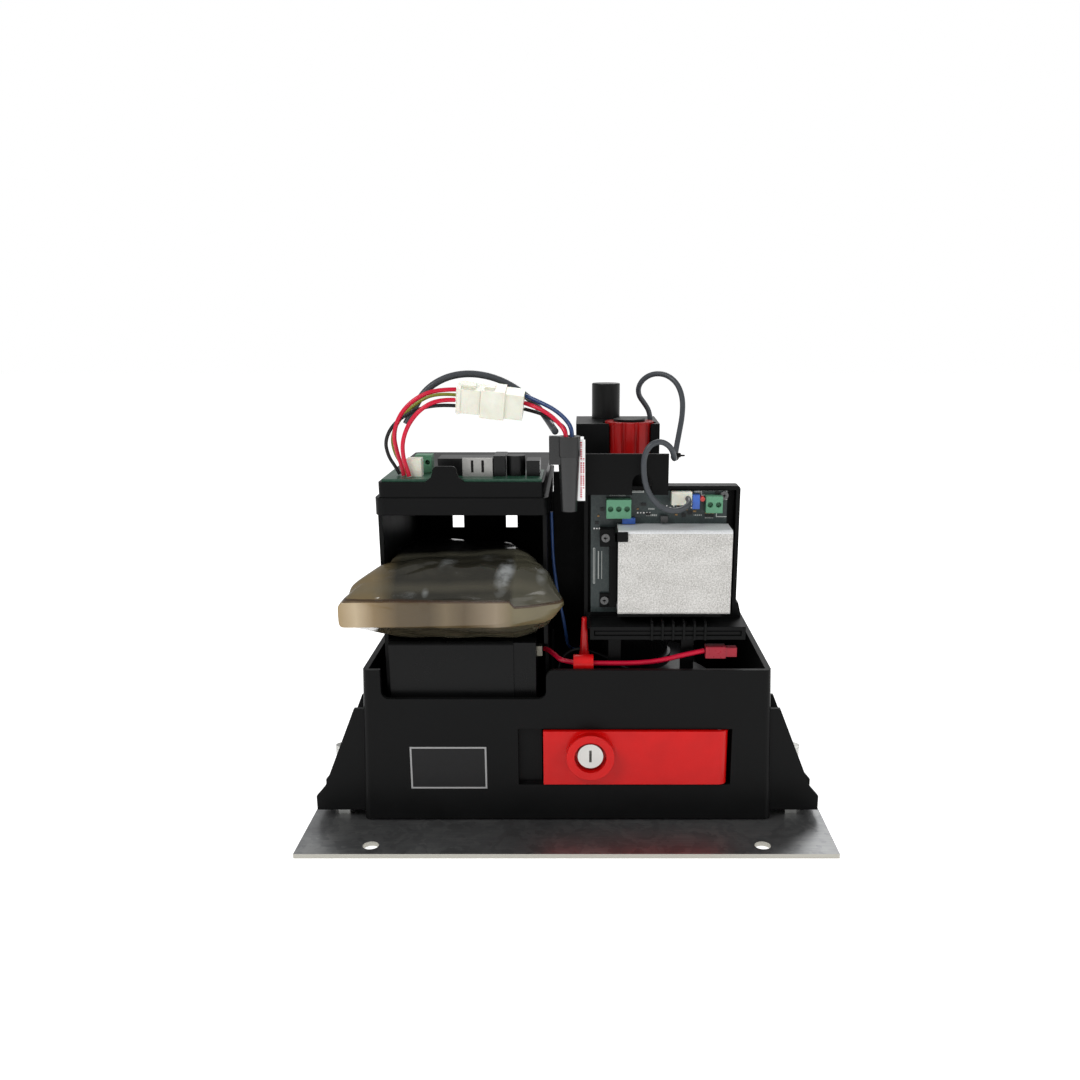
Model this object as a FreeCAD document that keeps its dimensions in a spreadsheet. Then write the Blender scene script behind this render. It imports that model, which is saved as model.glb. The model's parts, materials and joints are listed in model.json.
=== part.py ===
import FreeCAD, Part
import math
import os
import re

import Sketcher
from FreeCAD import Placement, Rotation, Vector

# Sliding gate motor with its cover off, in millimetres.
# Origin: centre of the foundation plate's underside. +X to the right seen from the
# front, +Y towards the gate at the back, +Z up.

doc = FreeCAD.newDocument("SlidingGateMotor")
sheet = doc.addObject("Spreadsheet::Sheet", "Dims")

SIZES = {
    # half the tub's length at its foot, which the plate, flanges and studs follow
    "tub_half_low": 131,
    # foundation plate, its studs and nuts
    "plate_length": "=2 * (tub_half_low + 34.5)",
    "plate_depth": 250,
    "plate_thick": 3,
    "anchor_pitch_x": 241,
    "anchor_pitch_y": 228,
    "anchor_bore": 10,
    "stud_dia": 8,
    "stud_pitch_x": "=2 * (tub_half_low + 15)",
    "stud_front_y": -64,
    "stud_rear_y": 78,
    "stud_tall": 46,
    "nut_flats": 13,
    "nut_tall": 5.5,
    "washer_dia": 16,
    "washer_thick": 1.5,
    "thread_gap": 0.3,
    # moulded tub
    "tub_front_y": -80,
    "tub_rear_y": 92,
    "tub_half_top": 127,
    "tub_lift": 1,
    "tub_top": 105,
    "tub_wall": 3.5,
    "tub_floor": 3.5,
    "flange_thick": 5,
    "flange_reach": "=tub_half_low + 31",
    "gusset_top": 78,
    "gusset_thick": 3,
    "gusset_neck": "=tub_half_low + 3.5",
    "gusset_toe_x": "=tub_half_low + 25",
    "gusset_toe_z": 25,
    "gusset_step_z": 18,
    "tub_corner": 4,
    "flange_front_y": -76,
    "flange_rear_y": 91,
    "stud_slack": 1,
    "cutout_left": -116,
    "cutout_right": -13,
    "cutout_floor": 86,
    "cutout_corner": 5,
    "shaft_port_dia": 34,
    "label_width": 49,
    "label_tall": 29,
    "label_centre_x": -75.5,
    "label_centre_z": 39.5,
    "label_deep": 0.8,
    "label_thick": 0.6,
    # release lever and its pocket
    "pocket_left": -31,
    "well_left": -16,
    "finger_deep": 5,
    "pocket_right": 104,
    "pocket_low": 28,
    "pocket_high": 66,
    "pocket_deep": 22,
    "pocket_wall": 3,
    "lever_left": -15,
    "lever_low": 29.2,
    "lever_high": 65.3,
    "lever_proud": 2.5,
    "lever_thick": 10,
    "lever_skin": 3,
    "lever_hub": 5.5,
    "hinge_x": 96,
    "hinge_y": -77,
    "hinge_pin_dia": 4,
    "hinge_gap": 0.3,
    "lock_x": 14.7,
    "lock_z": 50,
    "lock_boss_dia": 30,
    "lock_boss_bore": 20,
    "lock_boss_tall": 6.5,
    "lock_dia": 16,
    "lock_body_dia": 22,
    "lock_sunk": 3,
    "lock_long": 22,
    "turn_gap": 0.1,
    "key_wide": 1.6,
    "key_tall": 8,
    "tongue_reach": 19,
    "tongue_wide": 6,
    "tongue_thick": 2,
    # battery and the frame round it
    "battery_left": -111.4,
    "battery_front_y": -72,
    "battery_deep": 151,
    "battery_wide": 92,
    "battery_tall": 65,
    "battery_low": 56,
    "battery_lid": 14,
    "battery_tab": 3.2,
    "frame_wall": 2.5,
    "frame_left": -114.5,
    "frame_right": -12,
    "frame_rear_y": 83,
    "window_wide": 8.5,
    "window_low": 164,
    "window_tall": 12,
    "window_left_x": -83.3,
    "window_right_x": -43.3,
    # stacked trays and the control board
    "tray_front_y": -70,
    "tray_rear_y": 84,
    "tray_left": -115.8,
    "tray_right": -11,
    "lower_tray_low": 200.2,
    "lower_tray_top": 210.6,
    "upper_tray_top": 220,
    "upper_tray_inset": 2.6,
    "tray_wall": 2.5,
    "tray_corner": 6,
    "tab_x": -72.9,
    "tab_foot": 23,
    "tab_width": 14.5,
    "tab_top": 229.5,
    "tab_round": 3,
    "board_thick": 1.6,
    "board_rear_y": -24,
    "deck_thick": 2.5,
    # charger
    "charger_left": 10.7,
    "charger_right": 107.5,
    "charger_low": 134,
    "charger_top": 215,
    "charger_back_y": -38,
    "charger_front_y": -50,
    "charger_wall": 2.5,
    "charger_board_left": 14.9,
    "charger_board_right": 99.4,
    "charger_board_top": 213,
    "sink_left": 31.3,
    "sink_right": 100.5,
    "sink_low": 139,
    "sink_top": 191.5,
    "sink_front_y": -74,
    "sink_thick": 2.5,
    "shelf_left": 14.4,
    "shelf_right": 110.7,
    "shelf_low": 123,
    "shelf_top": 131.3,
    "rib_left": 52,
    "rib_pitch": 6.6,
    "rib_thick": 1.4,
    "terminal_pitch": 5.08,
    # motor, hand wheel and top block
    "motor_x": 40,
    "motor_y": -8,
    "motor_dia": 56,
    "motor_wall": 2.5,
    "motor_low": 96,
    "motor_top": 206,
    "motor_shaft_dia": 8,
    "wheel_dia": 31.5,
    "wheel_low": 231,
    "wheel_top": 250.8,
    "flute_dia": 3.2,
    "block_top": 250,
    "block_low": 222,
    "block_left": 10.6,
    "block_right": 59,
    "block_rear_y": 38,
    "block_front_y": -19,
    "bell_dia": 44,
    "shroud_left": -10.5,
    "shroud_low": 98,
    "shroud_shoulder": 212,
    "post_dia": 18.8,
    "post_x": 25.5,
    "post_y": 26,
    "post_end": 273,
    # gearbox: single-start worm, worm wheel and output
    "gear_module": 2,
    "wheel_teeth": 26,
    "worm_pitch_dia": 18,
    "gear_thin": 0.5,
    "gear_wide": 18,
    "worm_long": 40,
    "output_z": 47,
    "output_dia": 20,
    "case_wall": 5,
    "case_gap": 4,
    "case_front_y": -50,
    "case_split_y": -36,
    "case_rear_y": 88,
    "bearing_dia": 42,
    "bearing_wide": 12,
    "small_bearing_dia": 22,
    "small_bearing_wide": 7,
    "shaft_gap": 0.05,
    "fit_gap": 0.3,
    "disc_dia": 20.5,
    "disc_thick": 1.5,
    "boot_seat": 100.5,
    "boot_dia": 11,
    "sleeve_x": 1.6,
    "sleeve_y": -69.5,
    "sleeve_low": 202.8,
    "sleeve_seam": 235.8,
    "sleeve_top": 247.5,
    "sleeve_wide_dia": 13.8,
    "sleeve_slim_dia": 9.6,
    "sleeve_bore": 8.4,
    "panel_left": 10.6,
    "panel_right": 62,
    "panel_low": 211,
    "panel_top": 235.8,
    "panel_front_y": -60,
    "panel_thick": 3,
    "rack_module": 4,
    "pinion_teeth": 16,
    "pinion_wide": 24,
    "clutch_travel": 6,
    "plunger_dia": 8,
}
for line, (word, size) in enumerate(SIZES.items(), start=1):
    sheet.set(f"A{line}", word)
    sheet.set(f"B{line}", str(size))
    sheet.setAlias(f"B{line}", word)
doc.recompute()

WORD = re.compile(r"[a-z][a-z_]*[a-z]")
MATHS = {"sqrt", "cos", "sin", "tan", "atan"}
SUBPARTS = []


def formula(text):
    """Turn a sum on the sheet's names into a FreeCAD expression."""
    return WORD.sub(lambda m: m[0] if m[0] in MATHS else "Dims." + m[0], str(text))


def size(text):
    """The present value of a sum on the sheet's names."""
    return float(sheet.evalExpression(formula(text)))


def v(word):
    """The present value of one size on the sheet."""
    return float(sheet.get(word))


def keep(obj, label):
    """Make an object a sub-part: its label names its file."""
    obj.Label = label
    SUBPARTS.append(obj)
    return obj


def box(x, y, z):
    """A block between three (low, high) pairs of sums."""
    obj = doc.addObject("Part::Box", "Block")
    sides = (("Length", "x", x), ("Width", "y", y), ("Height", "z", z))
    for side, axis, (low, high) in sides:
        obj.setExpression(side, formula(f"({high}) - ({low})"))
        obj.setExpression(f"Placement.Base.{axis}", formula(low))
    return obj


TURNS = {
    "x": Rotation(Vector(0, 1, 0), 90),
    "y": Rotation(Vector(1, 0, 0), -90),
    "z": Rotation(),
}


def set_round(obj, axis, x, y, z):
    """Turn a round primitive to its axis, where the span is a (low, high) pair."""
    places = {"x": x, "y": y, "z": z}
    low, high = places[axis]
    places[axis] = low
    obj.Placement = Placement(Vector(), TURNS[axis])
    obj.setExpression("Height", formula(f"({high}) - ({low})"))
    for name, place in places.items():
        obj.setExpression(f"Placement.Base.{name}", formula(place))
    return obj


def rod(dia, axis, x, y, z):
    """A cylinder along an axis, its span given as a (low, high) pair."""
    obj = doc.addObject("Part::Cylinder", "Rod")
    obj.setExpression("Radius", formula(f"({dia}) / 2"))
    return set_round(obj, axis, x, y, z)


def taper(low_dia, high_dia, axis, x, y, z):
    """A cone frustum along an axis."""
    obj = doc.addObject("Part::Cone", "Taper")
    obj.setExpression("Radius1", formula(f"({low_dia}) / 2"))
    obj.setExpression("Radius2", formula(f"({high_dia}) / 2"))
    return set_round(obj, axis, x, y, z)


def fuse(*pieces):
    obj = doc.addObject("Part::MultiFuse", "Joined")
    obj.Shapes = list(pieces)
    return obj


def cut(base, *tools):
    obj = doc.addObject("Part::Cut", "Cut")
    obj.Base = base
    obj.Tool = tools[0] if len(tools) == 1 else fuse(*tools)
    return obj


def group(*pieces):
    """Separate solids that share one node."""
    obj = doc.addObject("Part::Compound", "Group")
    obj.Links = list(pieces)
    return obj


def shaped(shape):
    """A feature whose shape is worked out by Part's own functions."""
    obj = doc.addObject("Part::Feature", "Shaped")
    obj.Shape = shape
    obj.Placement = Placement()
    return obj


def fillet(base, radius, wanted):
    """Round the edges of a finished object that a test picks out."""
    doc.recompute()
    obj = doc.addObject("Part::Fillet", "Rounded")
    obj.Base = base
    edges = enumerate(base.Shape.Edges, start=1)
    obj.Edges = [(n, radius, radius) for n, edge in edges if wanted(edge)]
    return obj


def along(edge, axis):
    """True for a straight edge that runs along an axis."""
    if edge.Curve.TypeId != "Part::GeomLine":
        return False
    return abs(getattr(edge.Curve.Direction, axis)) > 0.999


# PartDesign helpers. A depth is a (low, high) pair along the plane's own axis of the
# part: Z for XY, Y for XZ and X for YZ.
def new_body():
    return doc.addObject("PartDesign::Body", "Body")


def outline(body, plane, height, points, circles=()):
    """A sketch on one of the body's origin planes, every size bound to the sheet."""
    sketch = body.newObject("Sketcher::SketchObject", "Outline")
    role = plane + "_Plane"
    support = next(f for f in body.Origin.OriginFeatures if f.Role == role)
    sketch.AttachmentSupport = [(support, "")]
    sketch.MapMode = "FlatFace"
    sketch.setExpression("AttachmentOffset.Base.z", formula(height))
    places = [Vector(size(a), size(b), 0) for a, b in points]
    count = len(points)
    for n in range(count):
        sketch.addGeometry(Part.LineSegment(places[n], places[(n + 1) % count]))
    for n, (a, b) in enumerate(points):
        sketch.addConstraint(Sketcher.Constraint("Coincident", n, 2, (n + 1) % count, 1))
        bind_point(sketch, n, 1, a, b)
    for a, b, dia in circles:
        centre = Vector(size(a), size(b), 0)
        n = sketch.addGeometry(Part.Circle(centre, Vector(0, 0, 1), size(dia) / 2))
        bind_point(sketch, n, 3, a, b)
        rule = sketch.addConstraint(Sketcher.Constraint("Diameter", n, size(dia)))
        sketch.setExpression(f"Constraints[{rule}]", formula(dia))
    return sketch


def bind_point(sketch, n, end, a, b):
    for kind, text in (("DistanceX", a), ("DistanceY", b)):
        limit = Sketcher.Constraint(kind, -1, 1, n, end, size(text))
        rule = sketch.addConstraint(limit)
        sketch.setExpression(f"Constraints[{rule}]", formula(text))


def pad(body, plane, depth, points, circles=()):
    low, high = depth
    start = f"-({high})" if plane == "XZ" else low
    feature = body.newObject("PartDesign::Pad", "Pad")
    feature.Profile = outline(body, plane, start, points, circles)
    feature.setExpression("Length", formula(f"({high}) - ({low})"))
    body.Tip = feature
    return feature


def pocket(body, plane, depth, points, circles=()):
    low, high = depth
    start = f"-({low})" if plane == "XZ" else high
    feature = body.newObject("PartDesign::Pocket", "Pocket")
    feature.Profile = outline(body, plane, start, points, circles)
    feature.setExpression("Length", formula(f"({high}) - ({low})"))
    body.Tip = feature
    return feature


def oblong(x, y):
    """The four corners of a rectangle between two (low, high) pairs."""
    return [(x[0], y[0]), (x[1], y[0]), (x[1], y[1]), (x[0], y[1])]


def round_edges(body, radius, wanted):
    """A PartDesign fillet on the edges of the body's tip that a test picks out."""
    doc.recompute()
    tip = body.Tip
    names = [f"Edge{n}" for n, edge in enumerate(tip.Shape.Edges, start=1) if wanted(edge)]
    feature = body.newObject("PartDesign::Fillet", "Fillet")
    feature.Base = (tip, names)
    feature.setExpression("Radius", formula(radius))
    body.Tip = feature
    return feature


# Foundation plate, studs, nuts and washers.
plate = new_body()
half_x = "plate_length / 2"
half_y = "plate_depth / 2"
pad(plate, "XY", ("0", "plate_thick"), oblong(("-" + half_x, half_x), ("-" + half_y, half_y)))
anchors = [
    (f"{a} * anchor_pitch_x / 2", f"{b} * anchor_pitch_y / 2", "anchor_bore")
    for a in (-1, 1)
    for b in (-1, 1)
]
pocket(plate, "XY", ("0", "plate_thick"), [], anchors)
keep(plate, "mounting_plate")

STUDS = [(f"{a} * stud_pitch_x / 2", y) for a in (-1, 1) for y in ("stud_front_y", "stud_rear_y")]
stud_end = "plate_thick + stud_tall"
keep(group(*[rod("stud_dia", "z", x, y, ("plate_thick", stud_end)) for x, y in STUDS]), "mounting_studs")

flange_low = "plate_thick + nut_tall"
flange_high = f"{flange_low} + flange_thick"
washer_high = f"{flange_high} + washer_thick"


def hex_nut(x, y, low):
    prism = doc.addObject("Part::Prism", "Hexagon")
    prism.Polygon = 6
    prism.setExpression("Circumradius", formula("nut_flats / sqrt(3)"))
    prism.setExpression("Height", formula("nut_tall"))
    for axis, place in (("x", x), ("y", y), ("z", low)):
        prism.setExpression(f"Placement.Base.{axis}", formula(place))
    bore = rod("stud_dia + 2 * thread_gap", "z", x, y, (low, f"{low} + nut_tall"))
    return cut(prism, bore)


nuts = [hex_nut(x, y, low) for x, y in STUDS for low in ("plate_thick", washer_high)]
washers = []
for x, y in STUDS:
    span = (flange_high, washer_high)
    washers.append(cut(rod("washer_dia", "z", x, y, span), rod("stud_dia + 2 * thread_gap", "z", x, y, span)))
keep(group(*nuts, *washers), "stud_nuts")


# Moulded tub: a drafted shell with a cut-out before the battery, a pocket for the
# release lever and a flange with gussets on each side.
def tub_profile(inset, low):
    """The tub seen from the front, drafted to be narrower at its rim."""
    foot = f"tub_half_low - {inset}"
    rim = f"tub_half_top - {inset}"
    return [(f"-({foot})", low), (foot, low), (rim, "tub_top"), (f"-({rim})", "tub_top")]


tub = new_body()
tub_low = "plate_thick + tub_lift"
tub_bed = f"{tub_low} + tub_floor"
pad(tub, "XZ", ("tub_front_y", "tub_rear_y"), tub_profile("0", tub_low))
round_edges(tub, "tub_corner", lambda e: abs(e.Vertexes[0].Z - e.Vertexes[1].Z) > 50)
inner_y = ("tub_front_y + tub_wall", "tub_rear_y - tub_wall")
pocket(tub, "XZ", inner_y, tub_profile("tub_wall", tub_bed))

pocket(
    tub,
    "XZ",
    ("tub_front_y - 1", "tub_front_y + tub_wall + 1"),
    oblong(("cutout_left", "cutout_right"), ("cutout_floor", "tub_top + 1")),
)


def cutout_corner(edge):
    middle = edge.CenterOfMass
    low = abs(middle.z - v("cutout_floor")) < 0.1
    near_left = abs(middle.x - v("cutout_left")) < 0.1
    near_right = abs(middle.x - v("cutout_right")) < 0.1
    return along(edge, "y") and middle.y < -70 and (near_right or (low and near_left))


round_edges(tub, "cutout_corner", cutout_corner)

pocket_x = ("pocket_left", "pocket_right")
pocket_z = ("pocket_low", "pocket_high")
pocket_rear = "tub_front_y + pocket_deep"
lever_well_z = ("pocket_low - pocket_wall", "pocket_high + pocket_wall")
lever_well = oblong(
    ("well_left - pocket_wall", "pocket_right + pocket_wall"),
    ("pocket_low - pocket_wall", "pocket_high + pocket_wall"),
)
finger_x = ("pocket_left - pocket_wall", "well_left")
finger_rear = "tub_front_y + finger_deep"
finger_y = ("tub_front_y", f"{finger_rear} + pocket_wall - 0.5")
pad(tub, "XZ", finger_y, oblong(finger_x, lever_well_z))
pad(tub, "XZ", ("tub_front_y", f"{pocket_rear} + pocket_wall"), lever_well)
well_x = ("well_left", "pocket_right")
pocket(tub, "XZ", ("tub_front_y", pocket_rear), oblong(well_x, pocket_z))
finger_gap_x = ("pocket_left", "well_left + 1")
pocket(tub, "XZ", ("tub_front_y", finger_rear), oblong(finger_gap_x, pocket_z))
output_x = "motor_x + (gear_module * wheel_teeth + worm_pitch_dia) / 2"
plunger_port = [(output_x, "output_z", "plunger_dia + 2 * fit_gap")]
pocket(tub, "XZ", (pocket_rear, f"{pocket_rear} + pocket_wall"), [], plunger_port)
pin_span = ("pocket_low - pocket_wall", "pocket_high + pocket_wall")
pocket(tub, "XY", pin_span, [], [("hinge_x", "hinge_y", "hinge_pin_dia + 2 * shaft_gap")])

lever_face = "tub_front_y - lever_proud"
lock_face = f"{lever_face} - lock_boss_tall + lock_sunk"
tongue_y = (f"{lock_face} + lock_long - tongue_thick", f"{lock_face} + lock_long")
slot_x = ("lock_x - tongue_reach * 0.7", "lock_x + tongue_wide")
slot_y = (f"{tongue_y[0]} - 1", f"{tongue_y[1]} + 1")
lead_post = oblong(("4", "17"), ("pocket_high + pocket_wall / 2", "boot_seat"))
pad(tub, "XZ", ("tub_front_y + tub_wall / 2", "-50"), lead_post)
pocket(tub, "XY", ("pocket_high", "pocket_high + pocket_wall + 2"), oblong(slot_x, slot_y))

label_x = ("label_centre_x - label_width / 2", "label_centre_x + label_width / 2")
label_z = ("label_centre_z - label_tall / 2", "label_centre_z + label_tall / 2")
label_seat = "tub_front_y + label_deep"
pocket(tub, "XZ", ("tub_front_y", label_seat), oblong(label_x, label_z))


GUSSETS = ("flange_front_y", "-50", "62", "flange_rear_y - gusset_thick")
for side in ("", "-"):
    root = f"{side}(tub_half_low - tub_wall + shaft_gap)"
    ends = ("flange_front_y", "flange_rear_y")
    pad(tub, "XY", (flange_low, flange_high), oblong((root, f"{side}flange_reach"), ends))
    for y in GUSSETS:
        profile = [
            (root, flange_low),
            (f"{side}flange_reach", flange_low),
            (f"{side}flange_reach", "gusset_step_z"),
            (f"{side}gusset_toe_x", "gusset_toe_z"),
            (f"{side}gusset_neck", "gusset_top"),
            (root, "gusset_top"),
        ]
        pad(tub, "XZ", (y, f"{y} + gusset_thick"), profile)
stud_ports = [(x, y, "stud_dia + stud_slack") for x, y in STUDS]
pocket(tub, "XY", (flange_low, flange_high), [], stud_ports)
rear_wall = ("tub_rear_y - tub_wall - 1", "tub_rear_y + 1")
pocket(tub, "XZ", rear_wall, [], [(output_x, "output_z", "shaft_port_dia")])
keep(tub, "base_housing")

inset = "shaft_gap * 4"
plaque = box(
    (f"{label_x[0]} + {inset}", f"{label_x[1]} - {inset}"),
    (f"{label_seat} - label_thick", label_seat),
    (f"{label_z[0]} + {inset}", f"{label_z[1]} - {inset}"),
)
keep(plaque, "rating_plate")
keep(rod("hinge_pin_dia", "z", "hinge_x", "hinge_y", pin_span), "hinge_pin")

# Release lever: a hollow moulding with a hub at its hinge and a cup round the lock.
lever = new_body()
lever_back = f"{lever_face} + lever_thick"
lever_z = ("lever_low", "lever_high")
pad(lever, "XY", lever_z, oblong(("lever_left", "hinge_x"), (lever_face, lever_back)))
pad(lever, "XY", lever_z, [], [("hinge_x", "hinge_y", "2 * lever_hub")])
pocket(
    lever,
    "XZ",
    (f"{lever_face} + lever_skin", lever_back),
    oblong(
        ("lever_left + lever_skin", "hinge_x - 3 * lever_hub"),
        ("lever_low + lever_skin", "lever_high - lever_skin"),
    ),
)
lock_at = ("lock_x", "lock_z")
pad(lever, "XZ", (f"{lever_face} + lever_skin / 2", lever_back), [], [(*lock_at, "lock_body_dia")])
boss_front = f"{lever_face} - lock_boss_tall"
pad(lever, "XZ", (boss_front, f"{lever_face} + lever_skin / 2"), [], [(*lock_at, "lock_boss_dia")])
pocket(lever, "XZ", (boss_front, f"{lever_face} - 0.5"), [], [(*lock_at, "lock_boss_bore")])
pocket(lever, "XZ", (boss_front, lever_back), [], [(*lock_at, "lock_dia + 2 * turn_gap")])
pocket(lever, "XY", lever_z, [], [("hinge_x", "hinge_y", "hinge_pin_dia + 2 * turn_gap")])
keep(lever, "release_lever")

barrel = rod("lock_dia", "y", "lock_x", (lock_face, tongue_y[1]), "lock_z")
tongue_z = ("lock_z - tongue_wide / 2", "lock_z + tongue_wide / 2")
tongue = box(("lock_x - tongue_reach", "lock_x"), tongue_y, tongue_z)
keyway = box(
    ("lock_x - key_wide / 2", "lock_x + key_wide / 2"),
    (lock_face, f"{lock_face} + lock_long / 2"),
    ("lock_z - key_tall / 2", "lock_z + key_tall / 2"),
)
keep(cut(fuse(barrel, tongue), keyway), "lock_cylinder")


# Battery lying on its side, with its lid towards the motor.
def plus(text, step):
    return f"({text}) + ({step})"


battery_right = "battery_left + battery_wide"
battery_y = ("battery_front_y", "battery_front_y + battery_deep")
battery_z = ("battery_low", "battery_low + battery_tall")
case = box(("battery_left", f"{battery_right} - battery_lid"), battery_y, battery_z)
LID_STEP = "0.8"
lid = box(
    (f"{battery_right} - battery_lid", battery_right),
    (plus(battery_y[0], LID_STEP), plus(battery_y[1], "-" + LID_STEP)),
    (plus(battery_z[0], LID_STEP), plus(battery_z[1], "-" + LID_STEP)),
)
battery = fuse(case, lid)
upright_or_long = lambda e: along(e, "x") and e.Length > v("battery_lid") * 2
keep(fillet(battery, 2.5, upright_or_long), "battery")

tabs = []
for z in (plus(battery_z[0], "12"), plus(battery_z[1], "-12")):
    reach = (battery_right, plus(battery_right, "battery_tab"))
    tabs.append(box(reach, ("-53", "-46"), (plus(z, "-3.2"), plus(z, "3.2"))))
keep(group(*tabs), "battery_terminals")

# Frame round the battery: two side walls, a rear wall with two windows and a shelf.
frame = new_body()
frame_front = "tray_front_y + 4"
frame_x = ("frame_left", "frame_right")
frame_y = (frame_front, "frame_rear_y")
pad(frame, "XY", (tub_bed, "lower_tray_low"), oblong(frame_x, frame_y))
bay_x = ("frame_left + frame_wall", "frame_right - frame_wall")
bay_y = (plus(frame_front, "-1"), "frame_rear_y - frame_wall")
bay = oblong(bay_x, ("battery_low", "lower_tray_low + 1"))
pocket(frame, "XZ", bay_y, bay)
under = oblong(bay_x, (f"{tub_bed} - 1", "battery_low - frame_wall"))
pocket(frame, "XZ", bay_y, under)
for x in ("window_left_x", "window_right_x"):
    window = oblong(
        (f"{x} - window_wide / 2", f"{x} + window_wide / 2"),
        ("window_low", "window_low + window_tall"),
    )
    pocket(frame, "XZ", ("frame_rear_y - frame_wall", "frame_rear_y"), window)
lead_port = oblong((plus(frame_front, "-1"), "-44"), ("60", "118"))
pocket(frame, "YZ", ("frame_right - frame_wall", "frame_right"), lead_port)
notch_y = (plus(frame_front, "-1"), f"{pocket_rear} + pocket_wall + 0.3")
notch = oblong(("-20", "frame_right + 1"), ("pocket_low - pocket_wall - 1", "69.3"))
pocket(frame, "XZ", notch_y, notch)
keep(frame, "battery_frame")


# Two stacked trays and the control board.
def tray(label, x, y, z, corner):
    """An open tray with rounded upright corners."""
    body = new_body()
    pad(body, "XY", z, oblong(x, y))
    round_edges(body, corner, lambda e: along(e, "z"))
    inner_x = (f"{x[0]} + tray_wall", f"{x[1]} - tray_wall")
    inner_y = (f"{y[0]} + tray_wall", f"{y[1]} - tray_wall")
    pocket(body, "XY", (f"{z[0]} + tray_wall", z[1]), oblong(inner_x, inner_y))
    return body


lower_x = ("tray_left", "tray_right")
tray_y = ("tray_front_y", "tray_rear_y")
lower = tray("lower_tray", lower_x, tray_y, ("lower_tray_low", "lower_tray_top"), "tray_corner")
keep(lower, "lower_tray")
upper_x = ("tray_left + upper_tray_inset", "tray_right - upper_tray_inset")
upper_y = ("tray_front_y + 1", "tray_rear_y - 1")
upper = tray("control_tray", upper_x, upper_y, ("lower_tray_top", "upper_tray_top"), "tray_corner / 2")
shoulder = "(tab_foot - tab_width) / 2"
tab_low = "upper_tray_top - tray_wall"
tab_points = [
    ("tab_x - tab_foot / 2", tab_low),
    ("tab_x + tab_foot / 2", tab_low),
    ("tab_x + tab_foot / 2", "upper_tray_top + 0.5"),
    ("tab_x + tab_width / 2 + 1", f"upper_tray_top + {shoulder} * 0.7"),
    ("tab_x + tab_width / 2", f"upper_tray_top + {shoulder} * 1.4"),
    ("tab_x + tab_width / 2", "tab_top"),
    ("tab_x - tab_width / 2", "tab_top"),
    ("tab_x - tab_width / 2", f"upper_tray_top + {shoulder} * 1.4"),
    ("tab_x - tab_width / 2 - 1", f"upper_tray_top + {shoulder} * 0.7"),
    ("tab_x - tab_foot / 2", "upper_tray_top + 0.5"),
]
pad(upper, "XZ", (upper_y[0], f"{upper_y[0]} + tray_wall"), tab_points)
deck_x = (f"{upper_x[0]} + tray_wall / 2", f"{upper_x[1]} - tray_wall / 2")
deck_y = ("board_rear_y + 0.5", f"{upper_y[1]} - tray_wall / 2")
pad(upper, "XY", ("upper_tray_top - deck_thick", "upper_tray_top"), oblong(deck_x, deck_y))
tab_corner = lambda e: along(e, "y") and e.CenterOfMass.z > v("tab_top") - 0.1
round_edges(upper, "tab_round", tab_corner)
keep(upper, "control_tray")

board_x = (f"{upper_x[0]} + 2", f"{upper_x[1]} - 1.2")
board_y = (f"{upper_y[0]} + tray_wall + 0.3", "board_rear_y")
board_top = "upper_tray_top + board_thick"
keep(box(board_x, board_y, ("upper_tray_top", board_top)), "control_board")


def on_board(x, y, high):
    return box(x, y, (board_top, high))


sink_bar = on_board(("-63.6", "-45.2"), ("-55", "-52"), "232.6")
slots = [box((x, plus(x, "1.6")), ("-56", "-51"), ("224", "231.4")) for x in ("-58.4", "-52")]
keep(cut(sink_bar, *slots), "board_heat_sink")
relays = [
    on_board(("-79", "-45"), ("-51.5", "-32"), "232"),
    on_board(("-44.6", "-37.4"), ("-55", "-32"), "234"),
    rod("11.6", "z", "-31.2", "-48", (board_top, "233.8")),
    on_board(("-24.6", "-16.4"), ("-54", "-36"), "231"),
]
keep(group(*relays), "board_components")
keep(on_board(("-97.5", "-88.5"), ("-56", "-47"), "232.5"), "board_header")
terminal = on_board(("-95", "-84.5"), ("-38", "-28"), "232.4")
wire_ports = [rod("3", "y", x, ("-38", "-33"), "228") for x in ("-92.4", "-87.2")]
keep(cut(terminal, *wire_ports), "board_terminals")

# Charger: a moulded tray with a ribbed shelf, its board and a folded heat sink.
charger = new_body()
tray_x = ("charger_left", "charger_right")
charger_y = ("charger_front_y", "charger_back_y")
pad(charger, "XZ", charger_y, oblong(tray_x, ("shelf_low", "charger_top")))
well_x = ("charger_left + charger_wall", "charger_right - charger_wall")
well_z = ("charger_low", "charger_top - charger_wall")
pocket(charger, "XZ", ("charger_front_y", "charger_back_y - charger_wall"), oblong(well_x, well_z))
shelf_y = ("sink_front_y", "charger_back_y")
pad(charger, "XZ", shelf_y, oblong(("shelf_left", "shelf_right"), ("shelf_low", "shelf_top")))
shelf_hollow = oblong(
    ("shelf_left + charger_wall", "shelf_right - charger_wall"),
    ("shelf_low + charger_wall", "shelf_top - charger_wall"),
)
pocket(charger, "XZ", (shelf_y[0], "charger_front_y"), shelf_hollow)
RIBS = 6
for n in range(RIBS):
    x = f"rib_left + {n} * rib_pitch"
    rib = oblong((x, plus(x, "rib_thick")), ("shelf_low + 1", "shelf_top + 3"))
    pad(charger, "XZ", (plus(shelf_y[0], "1"), "charger_front_y"), rib)
gusset = [
    ("charger_right - charger_wall", "shelf_top - 1"),
    ("shelf_right", "shelf_top - 1"),
    ("shelf_right", "shelf_top + 2"),
    ("charger_right + 1.5", "shelf_top + 9"),
    ("charger_right - charger_wall", "shelf_top + 10"),
]
pad(charger, "XZ", charger_y, gusset)
leg_y = ("-63", "-56")
leg_low = "pocket_high + pocket_wall"
for x in ("26", "72"):
    pad(charger, "XZ", leg_y, oblong((x, plus(x, "8")), (leg_low, "shelf_low + 1")))
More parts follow.
